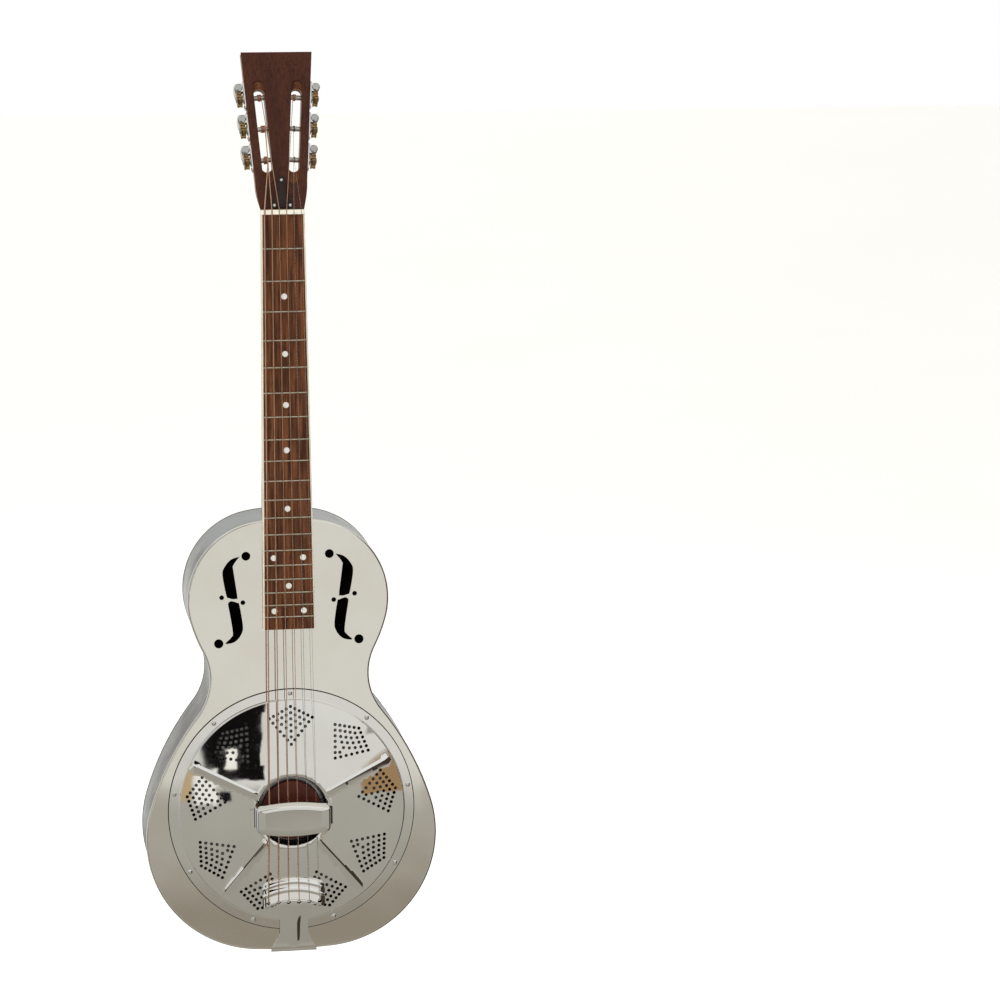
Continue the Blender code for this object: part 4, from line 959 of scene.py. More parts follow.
def build_handrest():
    """A stamped tray with a wide bevel towards the neck, standing on two side walls with feet."""
    foot = 0.0055
    half = HANDREST_HIGH.x - foot
    top = FRONT - HANDREST_LOW.y
    centre = (HANDREST_LOW.z + HANDREST_HIGH.z) / 2
    bow = 0.0045
    reach = (HANDREST_HIGH.z - HANDREST_LOW.z) / 2 - bow
    lean = 0.024                # the tray leans back a little towards the tail
    # insets of the sides, the edge towards the neck and the edge towards the tail, and the drop of each ring
    stages = [(0.0, 0.0, 0.0, 0.0068), (0.0, 0.0, 0.0, 0.0032), (0.0001, 0.0003, 0.0001, 0.0026),
              (0.0004, 0.0024, 0.0004, 0.0013), (0.0006, 0.0028, 0.0006, 0.0009),
              (0.0009, 0.0031, 0.0009, 0.0006), (0.0013, 0.0035, 0.0013, 0.0003),
              (0.0018, 0.0040, 0.0018, 0.0001),
              (0.0024, 0.0045, 0.0024, 0.0), (0.012, 0.0085, 0.009, 0.0),
              (0.020, 0.0125, 0.012, 0.0)]

    def raised(x, z, drop):
        return x, FRONT - top + drop + lean * (reach + bow - z), centre + z

    rings, under = [], []
    for side, up, down, drop in stages:
        outline = barrel(half, reach, bow, HANDREST_CORNER, side, up, down)
        rings.append([raised(x, z, drop) for x, z in outline])
        insets = [inset + HANDREST_SHEET for inset in (side, up, down)]
        outline = barrel(half, reach, bow, HANDREST_CORNER, *insets)
        under.append([raised(x, z, drop + HANDREST_SHEET) for x, z in outline])
    under[0] = [(x, y - HANDREST_SHEET, z) for x, y, z in under[0]]
    tray = loft(list(reversed(under)) + rings)
    walls = []
    floor = dome_height(COVER_OPENING) + GAP
    for side in (-1, 1):
        sections = []
        for x, height in ((half - 0.0010, top - 0.004), (half - 0.0004, floor + 0.0026),
                          (half + 0.0003, floor + 0.0012), (half + 0.0018, floor + 0.0006),
                          (half + foot, floor + 0.0005)):
            sections.append((x, height))
        lower = [(half - 0.0020, top - 0.004), (half - 0.0014, floor + 0.0018),
                 (half - 0.0004, floor + 0.0003), (half + 0.0014, floor - 0.0002),
                 (half + foot, floor - 0.0003)]
        rows = []
        for share in (-1.0, -0.9, -0.5, 0.0, 0.5, 0.9, 1.0):
            row = [(side * x, FRONT - height, centre + share * (0.0105 - 0.35 * max(x - half, 0)))
                   for x, height in sections + list(reversed(lower))]
            rows.append(row)
        walls.append(loft(rows))
    piece("handrest_visual", joined(tray, *walls), "chrome", ["handrest"], sharp=40.0)


def grooved(half, crest, foot, low, high, places, ends):
    """A bar across the strings with a notch under each of them; places are (x, width, depth)."""
    outline = [(-half, foot), (-half, crest - ends)]
    outline += [(-half + 0.0008, crest - ends * 0.4), (-half + 0.0025, crest)]
    for x, width, depth in places:
        outline += [(x - width * 0.55, crest), (x - width * 0.5, crest - depth * 0.6),
                    (x - width * 0.2, crest - depth), (x + width * 0.2, crest - depth),
                    (x + width * 0.5, crest - depth * 0.6),
                    (x + width * 0.55, crest)]
    outline += [(half - 0.0025, crest), (half - 0.0008, crest - ends * 0.4), (half, crest - ends),
                (half, foot)]
    rows = []
    for z, lowered in ((low, 0.0004), (low + 0.0006, 0.0), (high - 0.0006, 0.0), (high, 0.0004)):
        rows.append([(x, FRONT - (h if h <= foot else h - lowered), z) for x, h in outline])
    return loft(rows)


def build_saddle():
    low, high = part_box("saddle")
    places = [(STRING_PITCH_SADDLE * (k - 2.5), d + 0.0005, 0.0006) for k, d in enumerate(STRING_DIAMETERS)]
    shape = grooved(high.x, SADDLE_TOP + 0.0006, FRONT - high.y, low.z, high.z, places, 0.0028)
    piece("saddle_visual", shape, "maple", ["saddle"])
    low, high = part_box("biscuit")
    radius = high.x
    face, back = FRONT - low.y, FRONT - high.y
    profile = [(0.0, back), (radius - 0.0006, back), (radius, back + 0.0006), (radius, face - 0.0016)]
    profile += [(radius - 0.0016 * (1 - math.cos(a)), face - 0.0016 * (1 - math.sin(a)))
                for a in (math.radians(18 * k) for k in range(1, 6))]
    profile += [(radius - 0.0030, face), (0.0, face)]
    piece("biscuit_visual", moved(lathe(profile, 96), facing_front(0, 0, Z_CONE)), "biscuit", ["biscuit"])


# ---------------------------------------------------------------- tailpiece and strap button
def smooth_step(value, low, high):
    """0 below low, 1 above high, and an S-shaped curve between them."""
    share = min(max((value - low) / (high - low), 0.0), 1.0)
    return share * share * (3 - 2 * share)


def tail_width(z):
    """Half width of the tailpiece by the height of a row over the body's tail."""
    half = 0.0150 + 0.0094 * (1 - smooth_step(z, -0.002, 0.024)) ** 1.3
    half += 0.0042 * smooth_step(z, 0.030, 0.054)
    if z < 0.0548:
        return half
    low = 1 - min((z - 0.0548) / 0.0055, 1.0)
    high = 1 - min(max((TAIL_TOP - z) / 0.0060, 0.0), 1.0)
    return TAIL_BAR_HALF - 0.0060 * (1 - math.sqrt(1 - low * low)) - 0.0060 * (1 - math.sqrt(1 - high * high))


def tail_surface(x, z):
    """Height over the front plate: a sloping tongue with a broad rib, and a raised bar with two ridges."""
    base = 0.0018 + 0.0066 * smooth_step(z, 0.004, 0.056)
    rib_half = 0.0084 + 0.0110 * smooth_step(z, 0.026, 0.056) ** 1.4
    reach = math.hypot(x, max(0.0125 - z, 0.0))
    rib = 0.0008 * (1 - smooth_step(reach, 0.15 * rib_half, rib_half)) * (1 - smooth_step(z, 0.0556, 0.0566))
    bar = 0.0016 * smooth_step(z, 0.0550, 0.0560) - 0.0013 * smooth_step(z, 0.0562, 0.0830)
    ridges = 0.0011 * math.exp(-((z - 0.0686) / 0.0014) ** 2)
    ridges += 0.0008 * math.exp(-((z - 0.0766) / 0.0011) ** 2)
    rounding = 0.0018 * smooth_step(x, 0.0290, 0.0335) + 0.0022 * smooth_step(z, 0.0800, TAIL_TOP)
    return base + rib + bar + ridges - rounding


def build_tailpiece():
    under = TAIL_LOW.z + 0.0015
    tail = BODY_BOTTOM
    shares = [-1.0, -0.985, -0.95, -0.9] + [-0.85 + 0.05 * k for k in range(35)] + [0.9, 0.95, 0.985, 1.0]
    path = []
    for depth in (0.052, 0.040, 0.028, 0.016, 0.006, 0.0002):
        half = TAIL_END_HALF + (TAIL_FOOT_HALF - TAIL_END_HALF) * smooth_step(0.030 - depth, 0.0, 0.030)
        path.append([(u * half, depth, -0.0018) for u in shares])
    for degrees in (15, 35, 55, 75):
        angle = math.radians(degrees)
        out, up = 0.0002 - 0.0020 * math.sin(angle), -0.0018 + 0.0018 * (1 - math.cos(angle))
        path.append([(u * TAIL_FOOT_HALF, out, up) for u in shares])
    z = 0.0
    while z < TAIL_TOP + 0.0001:
        row = []
        for u in shares:
            x = u * tail_width(z)
            curved = z - 0.0078 * (x / TAIL_BAR_HALF) ** 2 * smooth_step(z, 0.036, 0.055)
            row.append((x, -tail_surface(abs(x), z), curved))
        path.append(row)
        z += 0.00035 if 0.0540 < z < 0.0580 else 0.0006 if z > 0.058 else 0.0013
    sections = []
    for i, row in enumerate(path):
        before, after = path[max(i - 1, 0)], path[min(i + 1, len(path) - 1)]
        outer, inner = [], []
        for k, (x, depth, z) in enumerate(row):
            along = Vector((0, after[k][1] - before[k][1], after[k][2] - before[k][2])).normalized()
            if i >= TAIL_BEND_ROWS:
                along = Vector((0, 0, 1))
            point = Vector((x, FRONT + depth, tail + z))
            outer.append(point)
            inner.append(point + Vector((0, along.z, -along.y)) * TAIL_SHEET)
        sections.append(outer + list(reversed(inner)))
    plate = piece("tailpiece_visual", loft(sections), "chrome", ["tailpiece"], sharp=38.0)
    holes = []
    for k in range(6):
        x = TAIL_PITCH * (k - 2.5)
        holes.append(moved(cylinder(STRING_HOLE_RADIUS, -0.004, 0.016), facing_front(x, 0.0, STRING_HOLE_Z)))
    holes.append(moved(cylinder(BUTTON_HOLE_RADIUS, -0.01, 0.01), Matrix.Translation((0, 0, under))))
    cut(plate, holes)


def build_strap_button():
    seat = TAIL_LOW.z - GAP
    profile = [(0.0022, 0.0012), (0.0028, 0.0002), (0.0058, 0.0), (0.0070, 0.0006), (0.0075, 0.0016),
               (0.0072, 0.0026), (0.0055, 0.0036), (0.0046, 0.0046), (0.0044, 0.0060),
               (0.0052, 0.0074),
               (0.0063, seat - 0.0008), (0.0065, seat - 0.0003), (0.0063, seat), (0.0020, seat),
               (0.0020, seat + 0.020),
               (0.0, seat + 0.022)]
    outwards = Matrix.Translation((0, 0, 0.0013)) @ Matrix.Rotation(math.pi, 4, "X")
    head = moved(screw(*SCREWS["strap"]), outwards)
    piece("strap_button_visual", joined(lathe([(0.0, 0.0012)] + profile, 48), head), "chrome",
          ["strap_button"])


# ---------------------------------------------------------------- neck and headstock
def board_half_width(z):
    share = (Z_NUT - z) / (Z_NUT - BOARD_LOW.z)
    return NUT_HALF + (BOARD_HIGH.x - NUT_HALF) * share


def head_point(x, along, depth):
    """A point on the headstock: across, up from the nut, and behind the veneer's face."""
    sine, cosine = math.sin(HEAD_TILT), math.cos(HEAD_TILT)
    y = FRONT - HEAD_FACE_OFFSET + along * sine + depth * cosine
    z = Z_NUT + NUT_THICKNESS + along * cosine - depth * sine
    return Vector((x, y, z))


def head_half_width(along):
    slope = (HEAD_TIP_HALF - HEAD_SHOULDER_HALF) / (HEAD_LENGTH - HEAD_SHOULDER)
    if along >= HEAD_SHOULDER:
        return HEAD_SHOULDER_HALF + slope * (along - HEAD_SHOULDER)
    share = max(along, 0.0) / HEAD_SHOULDER
    return NUT_HALF + (HEAD_SHOULDER_HALF - NUT_HALF) * math.sin(share * math.pi / 2)


RING_HALF = 14              # steps over half a section, and those before the point where a cap may start
RING_FLANK = 9
RING_PLAIN = math.pi / 2 * RING_FLANK / RING_HALF


def neck_ring(half, depth, squareness, place, cap=RING_PLAIN):
    """A section with a flat front and a rounded back; place puts (x, depth) in the world.

    The heel's cap cuts the back off at its depth, from the angle cap onwards.
    """
    flank = []
    for k in range(RING_HALF + 1):
        angle = cap * k / RING_FLANK
        if k > RING_FLANK:
            angle = cap + (math.pi / 2 - cap) * (k - RING_FLANK) / (RING_HALF - RING_FLANK)
        x = half * math.cos(angle) ** squareness if k < RING_HALF else 0.0
        flank.append((x, min(depth * math.sin(angle) ** squareness, HEEL_DEPTH)))
    return [place(x, y) for x, y in flank] + [place(-x, y) for x, y in reversed(flank[:-1])]


def shaft_place(z, lean=0.0):
    return lambda x, depth: Vector((x, FRONT + depth, z - lean * depth))


def head_place(along):
    return lambda x, depth: head_point(x, along, VENEER + 0.0001 + depth)


def between(sections, steps):
    """Extra rows of points or numbers on a smooth curve through the given ones."""
    rows = []
    for i in range(len(sections) - 1):
        four = [sections[max(i - 1, 0)], sections[i], sections[i + 1],
                sections[min(i + 2, len(sections) - 1)]]
        for s in range(steps):
            t = s / steps
            rows.append([curve(*values, t) for values in zip(*four)])
    rows.append(sections[-1])
    return rows


def slot_loop(side, ends, width, depth):
    """A capsule outline that keeps its distance from the headstock's side, as points at one depth."""
    centres = []
    for along in (ends[0] + width / 2, ends[1] - width / 2):
        centres.append(Vector((side * (head_half_width(max(along, HEAD_SHOULDER)) - SLOT_INSET), along)))
    direction = (centres[1] - centres[0]).normalized()
    normal = Vector((direction.y, -direction.x))
    points = []
    for centre, sign in ((centres[1], 1), (centres[0], -1)):
        for k in range(15):
            angle = math.pi * k / 14
            p = centre + sign * width / 2 * (math.cos(angle) * normal + math.sin(angle) * direction)
            points.append(head_point(p.x, p.y, depth))
    return points


def slot_cutters(side):
    through = [slot_loop(side, SLOT_ENDS, SLOT_WIDTH, depth) for depth in (-0.002, HEAD_THICKNESS + 0.002)]
    low = SLOT_ENDS[0] + 0.006, SLOT_ENDS[1] - 0.006
    scoop = [slot_loop(side, RAMP_ENDS, SLOT_WIDTH - 0.00002, depth) for depth in (-0.002, 0.0)]
    for k in range(1, 6):
        share = k / 5
        ends = tuple(a + (b - a) * share ** 1.25 for a, b in zip(RAMP_ENDS, low))
        scoop.append(slot_loop(side, ends, SLOT_WIDTH - 0.00002, RAMP_DEPTH * share))
    return [loft(through), loft(scoop)]


def tuner_frame(number):
    """Local frame of a tuner from its joints: X out of the headstock's side, Z forwards."""
    post, button = JOINTS[f"tuner_{number}_post_turn"], JOINTS[f"tuner_{number}_button_turn"]
    out, ahead = Vector(post["axis"]).normalized(), Vector(button["axis"]).normalized()
    across = ahead.cross(out)
    matrix = Matrix((out, across, ahead)).transposed().to_4x4()
    matrix.translation = Vector(post["pos_m"]) - out * GEAR_OUT
    worm = matrix.inverted() @ Vector(button["pos_m"])
    return matrix, worm


def build_neck():
    heel = []
    for rise, depth, square in between(HEEL_SECTIONS, 4):
        z = BODY_TOP + GAP + rise
        if depth > HEEL_DEPTH:
            cap = math.asin((HEEL_DEPTH / depth) ** (1 / square))
        else:
            cap = max(math.pi / 2 - 28.0 * (rise - HEEL_CAP_LENGTH), RING_PLAIN)
        heel.append(neck_ring(board_half_width(z), depth, square, shaft_place(z), cap))
    shaft = [
        heel[-1],
        neck_ring(board_half_width(Z_NUT - 0.03), NECK_DEPTH_NUT, 0.85, shaft_place(Z_NUT - 0.03)),
        neck_ring(NUT_HALF, NECK_DEPTH_NUT, 0.85, shaft_place(Z_NUT, 0.14)),
        neck_ring(NUT_HALF, NECK_DEPTH_NUT, 0.80, shaft_place(Z_NUT + NUT_THICKNESS, math.tan(HEAD_TILT))),
    ]
    wood_depth = HEAD_THICKNESS - VENEER - 0.0001
    head = []
    for along, square in ((0.0006, 0.70), (0.008, 0.45), (0.015, 0.25), (0.022, 0.15), (HEAD_SHOULDER, 0.10),
                          (HEAD_LENGTH - 0.0008, 0.10)):
        head.append(neck_ring(head_half_width(along), wood_depth, square, head_place(along)))
    tip = neck_ring(head_half_width(HEAD_LENGTH) - 0.0006, wood_depth - 0.0006, 0.10, head_place(HEAD_LENGTH))
    rows = heel[:-1] + between(shaft, 5)[:-1] + between([shaft[-1]] + head[:5], 3)
    neck = piece("neck_visual", loft(rows + [head[5], tip]), "mahogany", ["neck"])
    neck.data.materials.append(FINISHES["ramp_wood"][0])
    cutters = [shape for side in (-1, 1) for shape in slot_cutters(side)]
    hole = cylinder(ROLLER_HOLE_RADIUS, -POST_INNER, 0.004)
    for number in range(1, 7):
        cutters.append(moved(hole, tuner_frame(number)[0] @ ALONG_X))
    cut(neck, cutters)
    for polygon in neck.data.polygons:
        local = polygon.center - head_point(0, 0, 0)
        face = Vector((0, -math.cos(HEAD_TILT), math.sin(HEAD_TILT)))
        depth = -local.dot(face)
        sloping = 0.1 < polygon.normal.dot(face) < 0.97
        if polygon.center.z > Z_NUT + 0.02 and depth < RAMP_DEPTH + 0.0005 and sloping:
            polygon.material_index = 1


def build_head_veneer():
    stations = [0.0007, 0.004, 0.008, 0.012, 0.016, 0.020, 0.025, HEAD_SHOULDER, HEAD_LENGTH - 0.0004]
    rows = []
    for depth, inset in ((0.0, 0.0004), (0.0004, 0.0), (VENEER, 0.0)):
        right = [(head_half_width(along) - inset, along) for along in stations]
        right[-1] = (right[-1][0], HEAD_LENGTH - inset)
        outline = right + [(-x, along) for x, along in reversed(right)]
        rows.append([head_point(x, along, depth) for x, along in outline])
    veneer = piece("head_veneer_visual", loft(rows), "veneer", ["head_veneer"], sharp=60.0)
    veneer.data.materials.append(FINISHES["ramp_wood"][0])
    cut(veneer, [shape for side in (-1, 1) for shape in slot_cutters(side)])


def fret_z(number):
    return Z_NUT - SCALE_LENGTH * (1 - 2 ** (-number / 12))


def build_fingerboard():
    """Rosewood board between two cream bindings, with frets across both and pearl dots let in."""
    base, top = GAP, FRONT - BOARD_LOW.y - 0.0010
    ends = (BOARD_LOW.z, Z_NUT - GAP)
    corners = ((-1, base), (-1, top), (1, top), (1, base))
    rows = [[(s * (board_half_width(z) - BINDING_WIDTH), FRONT - h, z) for s, h in corners] for z in ends]
    piece("fingerboard_visual", loft(rows), "rosewood", ["fingerboard"])
    for side, name in ((-1, "bass"), (1, "treble")):
        rows = []
        for z in ends:
            outer = board_half_width(z)
            section = ((outer - BINDING_WIDTH, base), (outer, base), (outer, top - 0.0005),
                       (outer - 0.0002, top - 0.0001), (outer - 0.0005, top),
                       (outer - BINDING_WIDTH, top))
            rows.append([(side * x, FRONT - h, z) for x, h in section])
        piece(f"binding_{name}", loft(rows), "binding")
    for number in range(1, 20):
        z = fret_z(number)
        outer = board_half_width(z) - BINDING_WIDTH + 0.0001
        rows = []
        for x, share in ((-outer, 0.35), (-outer + 0.0006, 0.85), (-outer + 0.0015, 1.0),
                         (outer - 0.0015, 1.0), (outer - 0.0006, 0.85),
                         (outer, 0.35)):
            arc = [(FRET_HALF * math.cos(math.radians(a)), FRET_RISE * share * math.sin(math.radians(a)))
                   for a in range(0, 181, 20)]
            rows.append([(x, FRONT - top - h, z + w) for w, h in arc])
        piece(f"fret_{number}", loft(rows), "fret")
    for count, (x, number) in enumerate(DOTS):
        z = (fret_z(number) + fret_z(number - 1)) / 2
        profile = [(0, -0.0006), (DOT_RADIUS, -0.0006), (DOT_RADIUS, 0.00002), (DOT_RADIUS - 0.0003, 0.00008),
                   (0, 0.0001)]
        piece(f"dot_{count + 1}", moved(lathe(profile, 32), facing_front(x, top, z)), "pearl")


def build_nut():
    places = [(STRING_PITCH_NUT * (k - 2.5), d + 0.0004, 0.0007) for k, d in enumerate(STRING_DIAMETERS)]
    shape = grooved(NUT_HALF, NUT_TOP + 0.0007, GAP, Z_NUT, Z_NUT + NUT_THICKNESS - GAP, places, 0.0012)
    piece("nut_visual", shape, "bone", ["nut"])


def build_truss_cover():
    """Bell-shaped cover with a bevelled edge and three screws."""
    right = [(0.0100, 0.0016), (0.0104, 0.0040), (0.0096, 0.0075), (0.0078, 0.0115), (0.0062, 0.0160),
             (0.0052, 0.0220), (0.0046, 0.0280), (0.0038, 0.0318), (0.0022, 0.0342)]
    outline = right + [(0.0, 0.0350)] + [(-x, along) for x, along in reversed(right)]
    rows = []
    for depth, scale in ((-GAP, 1.0), (-GAP - 0.0012, 1.0), (-GAP - 0.0018, 0.96), (-GAP - 0.0020, 0.90)):
        rows.append([head_point(x * scale, 0.016 + (along - 0.016) * (1 - (1 - scale) * 0.5), depth)
                     for x, along in outline])
    piece("truss_rod_cover_visual", loft(rows), "black", ["truss_rod_cover"])
    tilt = Matrix.Rotation(-HEAD_TILT, 4, "X")
    for count, (x, along) in enumerate(((0.0, 0.0302), (-0.0082, 0.0038), (0.0082, 0.0038))):
        place = Matrix.Translation(head_point(x, along, -GAP - 0.0019)) @ tilt
        shape = moved(screw(*SCREWS["truss cover"]), place @ TO_FRONT)
        piece(f"truss_cover_screw_{count + 1}", shape, "chrome")


# ---------------------------------------------------------------- tuners
def rounded_bar(low, high, half, corner):
    """Outline of a plate from low to high with rounded corners."""
    points = []
    for cx, cy, start in ((high - corner, half - corner, 0), (low + corner, half - corner, 90),
                          (low + corner, -half + corner, 180), (high - corner, -half + corner, 270)):
        for k in range(7):
            angle = math.radians(start + 15 * k)
            points.append((cx + corner * math.cos(angle), cy + corner * math.sin(angle)))
    return points


def plate_shape(side, worm):
    """Base plate with bevelled edge, ears that carry the worm's shaft, a bush and two screws."""
    thick = 0.0012
    outline = rounded_bar(*TUNER_PLATE)
    half = TUNER_PLATE[2]
    rows = []
    for x, inset in ((GAP, 0.0), (GAP + thick - 0.0003, 0.0), (GAP + thick, 0.0004)):
        rows.append([(x, side * (a + (0.0035 - a) * inset / 0.0145), b * (1 - inset / half))
                     for a, b in outline])
    shapes = [loft(rows)]
    reach = worm.x + 0.0034
    for z in (EAR_Z, -EAR_Z - EAR_THICKNESS):
        ear = [(GAP + thick, -0.0044), (worm.x - 0.001, -0.0042)]
        ear += [(reach - 0.0038 + 0.0038 * math.sin(math.radians(a)), -0.0038 * math.cos(math.radians(a)))
                for a in range(15, 180, 15)]
        ear += [(worm.x - 0.001, 0.0042), (GAP + thick, 0.0044)]
        levels = ((z, 0.96), (z + 0.0002, 1.0), (z + EAR_THICKNESS - 0.0002, 1.0), (z + EAR_THICKNESS, 0.96))
        shapes.append(loft([
            [(x if x < worm.x else worm.x + (x - worm.x) * s, worm.y + y * s, h) for x, y in ear]
            for h, s in levels
        ]))
    bush = [(0.0034, GAP + thick), (0.0052, GAP + thick), (0.0052, GAP + thick + 0.0006),
            (0.0046, GAP + thick + 0.0010),
            (0.0034, GAP + thick + 0.0010)]
    shapes.append(moved(lathe(bush, 40, closed=True), ALONG_X))
    for y in TUNER_PLATE_SCREWS:
        place = Matrix.Translation((GAP + thick, side * y, 0)) @ ALONG_X
        place = place @ Matrix.Rotation(0.6 + y * 90, 4, "Z")
        shapes.append(moved(screw(*SCREWS["tuner plate"]), place))
    return joined(*shapes)


def wheel_shape():
    """Brass worm wheel: fourteen teeth with a hollow throat across their width, and a chamfered face."""
    sections = []
    for share in (-1.0, -0.92, -0.6, -0.3, 0.0, 0.3, 0.6, 0.92, 1.0):
        flare = 0.0007 * share * share - (0.0004 if abs(share) == 1.0 else 0.0)
        ring = []
        for k in range(GEAR_TEETH):
            middle = 2 * math.pi * k / GEAR_TEETH
            for offset, radius in TOOTH:
                angle = middle + offset * 2 * math.pi / GEAR_TEETH
                reach = radius + flare
                x = GEAR_OUT + share * GEAR_WIDTH / 2
                ring.append((x, reach * math.cos(angle), reach * math.sin(angle)))
        sections.append(ring)
    faces = []
    for x, sign in ((sections[0], -1), (sections[-1], 1)):
        inner = []
        for p in x:
            scale = 0.0045 / math.hypot(p[1], p[2])
            inner.append((p[0] - sign * 0.0003, p[1] * scale, p[2] * scale))
        faces.append(inner)
    bore = [[(p[0], p[1] * 0.55, p[2] * 0.55) for p in ring] for ring in faces]
    return loft([bore[0], faces[0]] + sections + [faces[1], bore[1]], ring=True)


def turn_post(side):
    """Angle that puts a tooth's middle towards the worm."""
    return Matrix.Rotation(0.0 if side > 0 else math.pi, 4, "X")


def post_shape():
    """String roller with rounded shoulders, and the slotted screw that holds the wheel."""
    seat = GEAR_OUT - GEAR_WIDTH / 2 - GAP
    inner = -POST_INNER + 0.0003
    profile = [(0, inner), (0.0026, inner), (ROLLER_RADIUS, inner + 0.0004), (ROLLER_RADIUS, -0.0200),
               (0.0026, -0.0196), (0.0026, -0.0092), (ROLLER_RADIUS, -0.0088), (ROLLER_RADIUS, seat),
               (0.0022, seat), (0.0022, GEAR_END),
               (0, GEAR_END)]
    head = moved(screw(*SCREWS["wheel"]), Matrix.Translation((GEAR_END, 0, 0)) @ ALONG_X)
    return joined(moved(lathe(profile, 32), ALONG_X), head)


def worm_shape(side):
    """Threaded worm on its shaft with the domed collar in front, about its own axis."""
    segments, rows = 28, 56
    sections = []
    for row in range(rows + 1):
        z = WORM_HALF * (2 * row / rows - 1)
        ring = []
        for k in range(segments):
            angle = 2 * math.pi * k / segments
            phase = z / WORM_LEAD - (angle - math.pi / 2) / (2 * math.pi)
            distance = abs(phase - round(phase)) * WORM_LEAD
            share = min(max((THREAD_HALF - distance) / THREAD_FLANK, 0.0), 1.0)
            share *= min((WORM_HALF - abs(z)) / 0.0006, 1.0)
            radius = WORM_CORE + (WORM_RADIUS - WORM_CORE) * share
            ring.append((radius * math.cos(angle), side * radius * math.sin(angle), z))
        sections.append(ring)
    collar = EAR_Z + EAR_THICKNESS + 0.0001
    profile = [(0, -BUTTON_SEAT), (SHAFT_RADIUS, -BUTTON_SEAT), (SHAFT_RADIUS, collar), (0.0037, collar),
               (COLLAR_RADIUS, collar + 0.0003), (COLLAR_RADIUS, collar + 0.0009), (0.0037, collar + 0.0014),
               (0.0028, collar + 0.0016), (0, collar + 0.0016)]
    return joined(loft(sections), lathe(profile, 40))


def button_shape():
    """Flat oval button with a throat, crowned faces and a screw in its end, about the worm's axis."""
    rings = []
    stages = ((0.0030, 0.0030, 0.0000), (0.0031, 0.0030, 0.0010), (0.0026, 0.0025, 0.0016),
              (0.0030, 0.0025, 0.0024), (0.0052, 0.0029, 0.0034), (0.0076, 0.0034, 0.0046),
              (0.0090, 0.0037, 0.0060),
              (0.0096, 0.00385, 0.0074), (0.0094, 0.0037, 0.0088), (0.0086, 0.0032, 0.0099),
              (0.0070, 0.0025, 0.0106),
              (0.0040, 0.0014, 0.0109))
    for across, along, drop in stages:
        ring = []
        for k in range(44):
            angle = 2 * math.pi * k / 44
            ring.append((along * math.cos(angle), across * math.sin(angle), -BUTTON_SEAT - drop))
        rings.append(ring)
    outwards = Matrix.Translation((0, 0, -0.0206)) @ Matrix.Rotation(math.pi, 4, "X")
    head = moved(screw(*SCREWS["button"]), outwards)
    return joined(loft(rings), head)


def coil(start, turns, radius, wire_radius, direction):
    """Close turns of string round the roller, from start along local X."""
    points = []
    steps = 18
    for k in range(int(turns * steps) + 1):
        angle = math.pi / 2 - 2 * math.pi * k / steps * direction
        x = start + k / steps * wire_radius * 2.06
        points.append((x, radius * math.cos(angle), radius * math.sin(angle)))
    return tube(points, wire_radius, 8)


def build_tuners():
    for number in range(1, 7):
        side = -1 if number <= 3 else 1
        matrix, worm = tuner_frame(number)
        button_body, post_body = f"tuner_{number}_button", f"tuner_{number}_post"
        piece(f"tuner_{number}_base", moved(plate_shape(side, worm), matrix), "chrome",
              [f"tuner_{number}_plate"])
        wheel = moved(wheel_shape(), matrix @ turn_post(side))
        piece(f"tuner_{number}_wheel", wheel, "brass", [f"tuner_{number}_gear"], post_body, sharp=38.0)
        piece(f"tuner_{number}_roller", moved(post_shape(), matrix), "steel", [f"tuner_{number}_post"],
              post_body)
        at_worm = matrix @ Matrix.Translation(worm)
        piece(f"tuner_{number}_worm", moved(worm_shape(side), at_worm), "collar", [f"tuner_{number}_button"],
              button_body)
        piece(f"tuner_{number}_knob", moved(button_shape(), at_worm), "chrome", (), button_body)
        k = number - 1
        along = TUNER_POSITIONS[STRING_POSTS[k]]
        start = (matrix.inverted() @ head_point(STRING_POST_X[k], along, ROLLER_DEPTH)).x
        wire_radius = STRING_DIAMETERS[k] / 2
        turns = min(4.0, 0.0036 / STRING_DIAMETERS[k]) + 0.4
        winding = coil(start, turns, ROLLER_RADIUS + wire_radius * 0.9, wire_radius, side)
        piece(f"string_{number}_winding", moved(winding, matrix), "wound" if k < 4 else "plain", (),
              post_body)


# ---------------------------------------------------------------- strings
def build_strings():
    for k, diameter in enumerate(STRING_DIAMETERS):
        radius = diameter / 2
        offset = k - 2.5
        saddle = SADDLE_TOP + GAP + radius
        nut = NUT_TOP + GAP + radius
        along = TUNER_POSITIONS[STRING_POSTS[k]]
        touch = ROLLER_DEPTH - ROLLER_RADIUS - GAP - radius
        route = [
            Vector((TAIL_PITCH * offset, FRONT - 0.0085, TAIL_STRING_Z - 0.0006)),
            Vector((TAIL_PITCH * offset, FRONT - 0.0104, TAIL_STRING_Z - 0.0002)),
            Vector((TAIL_PITCH * offset, FRONT - 0.0112, TAIL_STRING_Z + 0.0010)),
            Vector((STRING_PITCH_SADDLE * offset, FRONT - saddle, Z_SADDLE - 0.0038)),
            Vector((STRING_PITCH_SADDLE * offset, FRONT - saddle, Z_SADDLE)),
            Vector((STRING_PITCH_NUT * offset, FRONT - nut, Z_NUT)),
            Vector((STRING_PITCH_NUT * offset, FRONT - nut, Z_NUT + NUT_THICKNESS)),
            head_point(STRING_POST_X[k], along, touch),
        ]
        finish = "wound" if k < 4 else "plain"
        piece(f"string_{k + 1}_visual", tube(route, radius, 10), finish, [f"string_{k + 1}"])


def dress_hidden_nodes():
    """CAD solids that stay as they are get a finished material."""
    # The soundwell gets the near-black metal: painted shade inside the body.
    finishes = {"soundwell": "inside", "resonator_cone": "aluminium", "biscuit_screw": "steel",
                "neck_stick": "mahogany", "truss_rod": "steel"}
    for node, finish in finishes.items():
        mesh = frame["nodes"][node].data
        mesh.materials.clear()
        mesh.materials.append(FINISHES[finish][0])


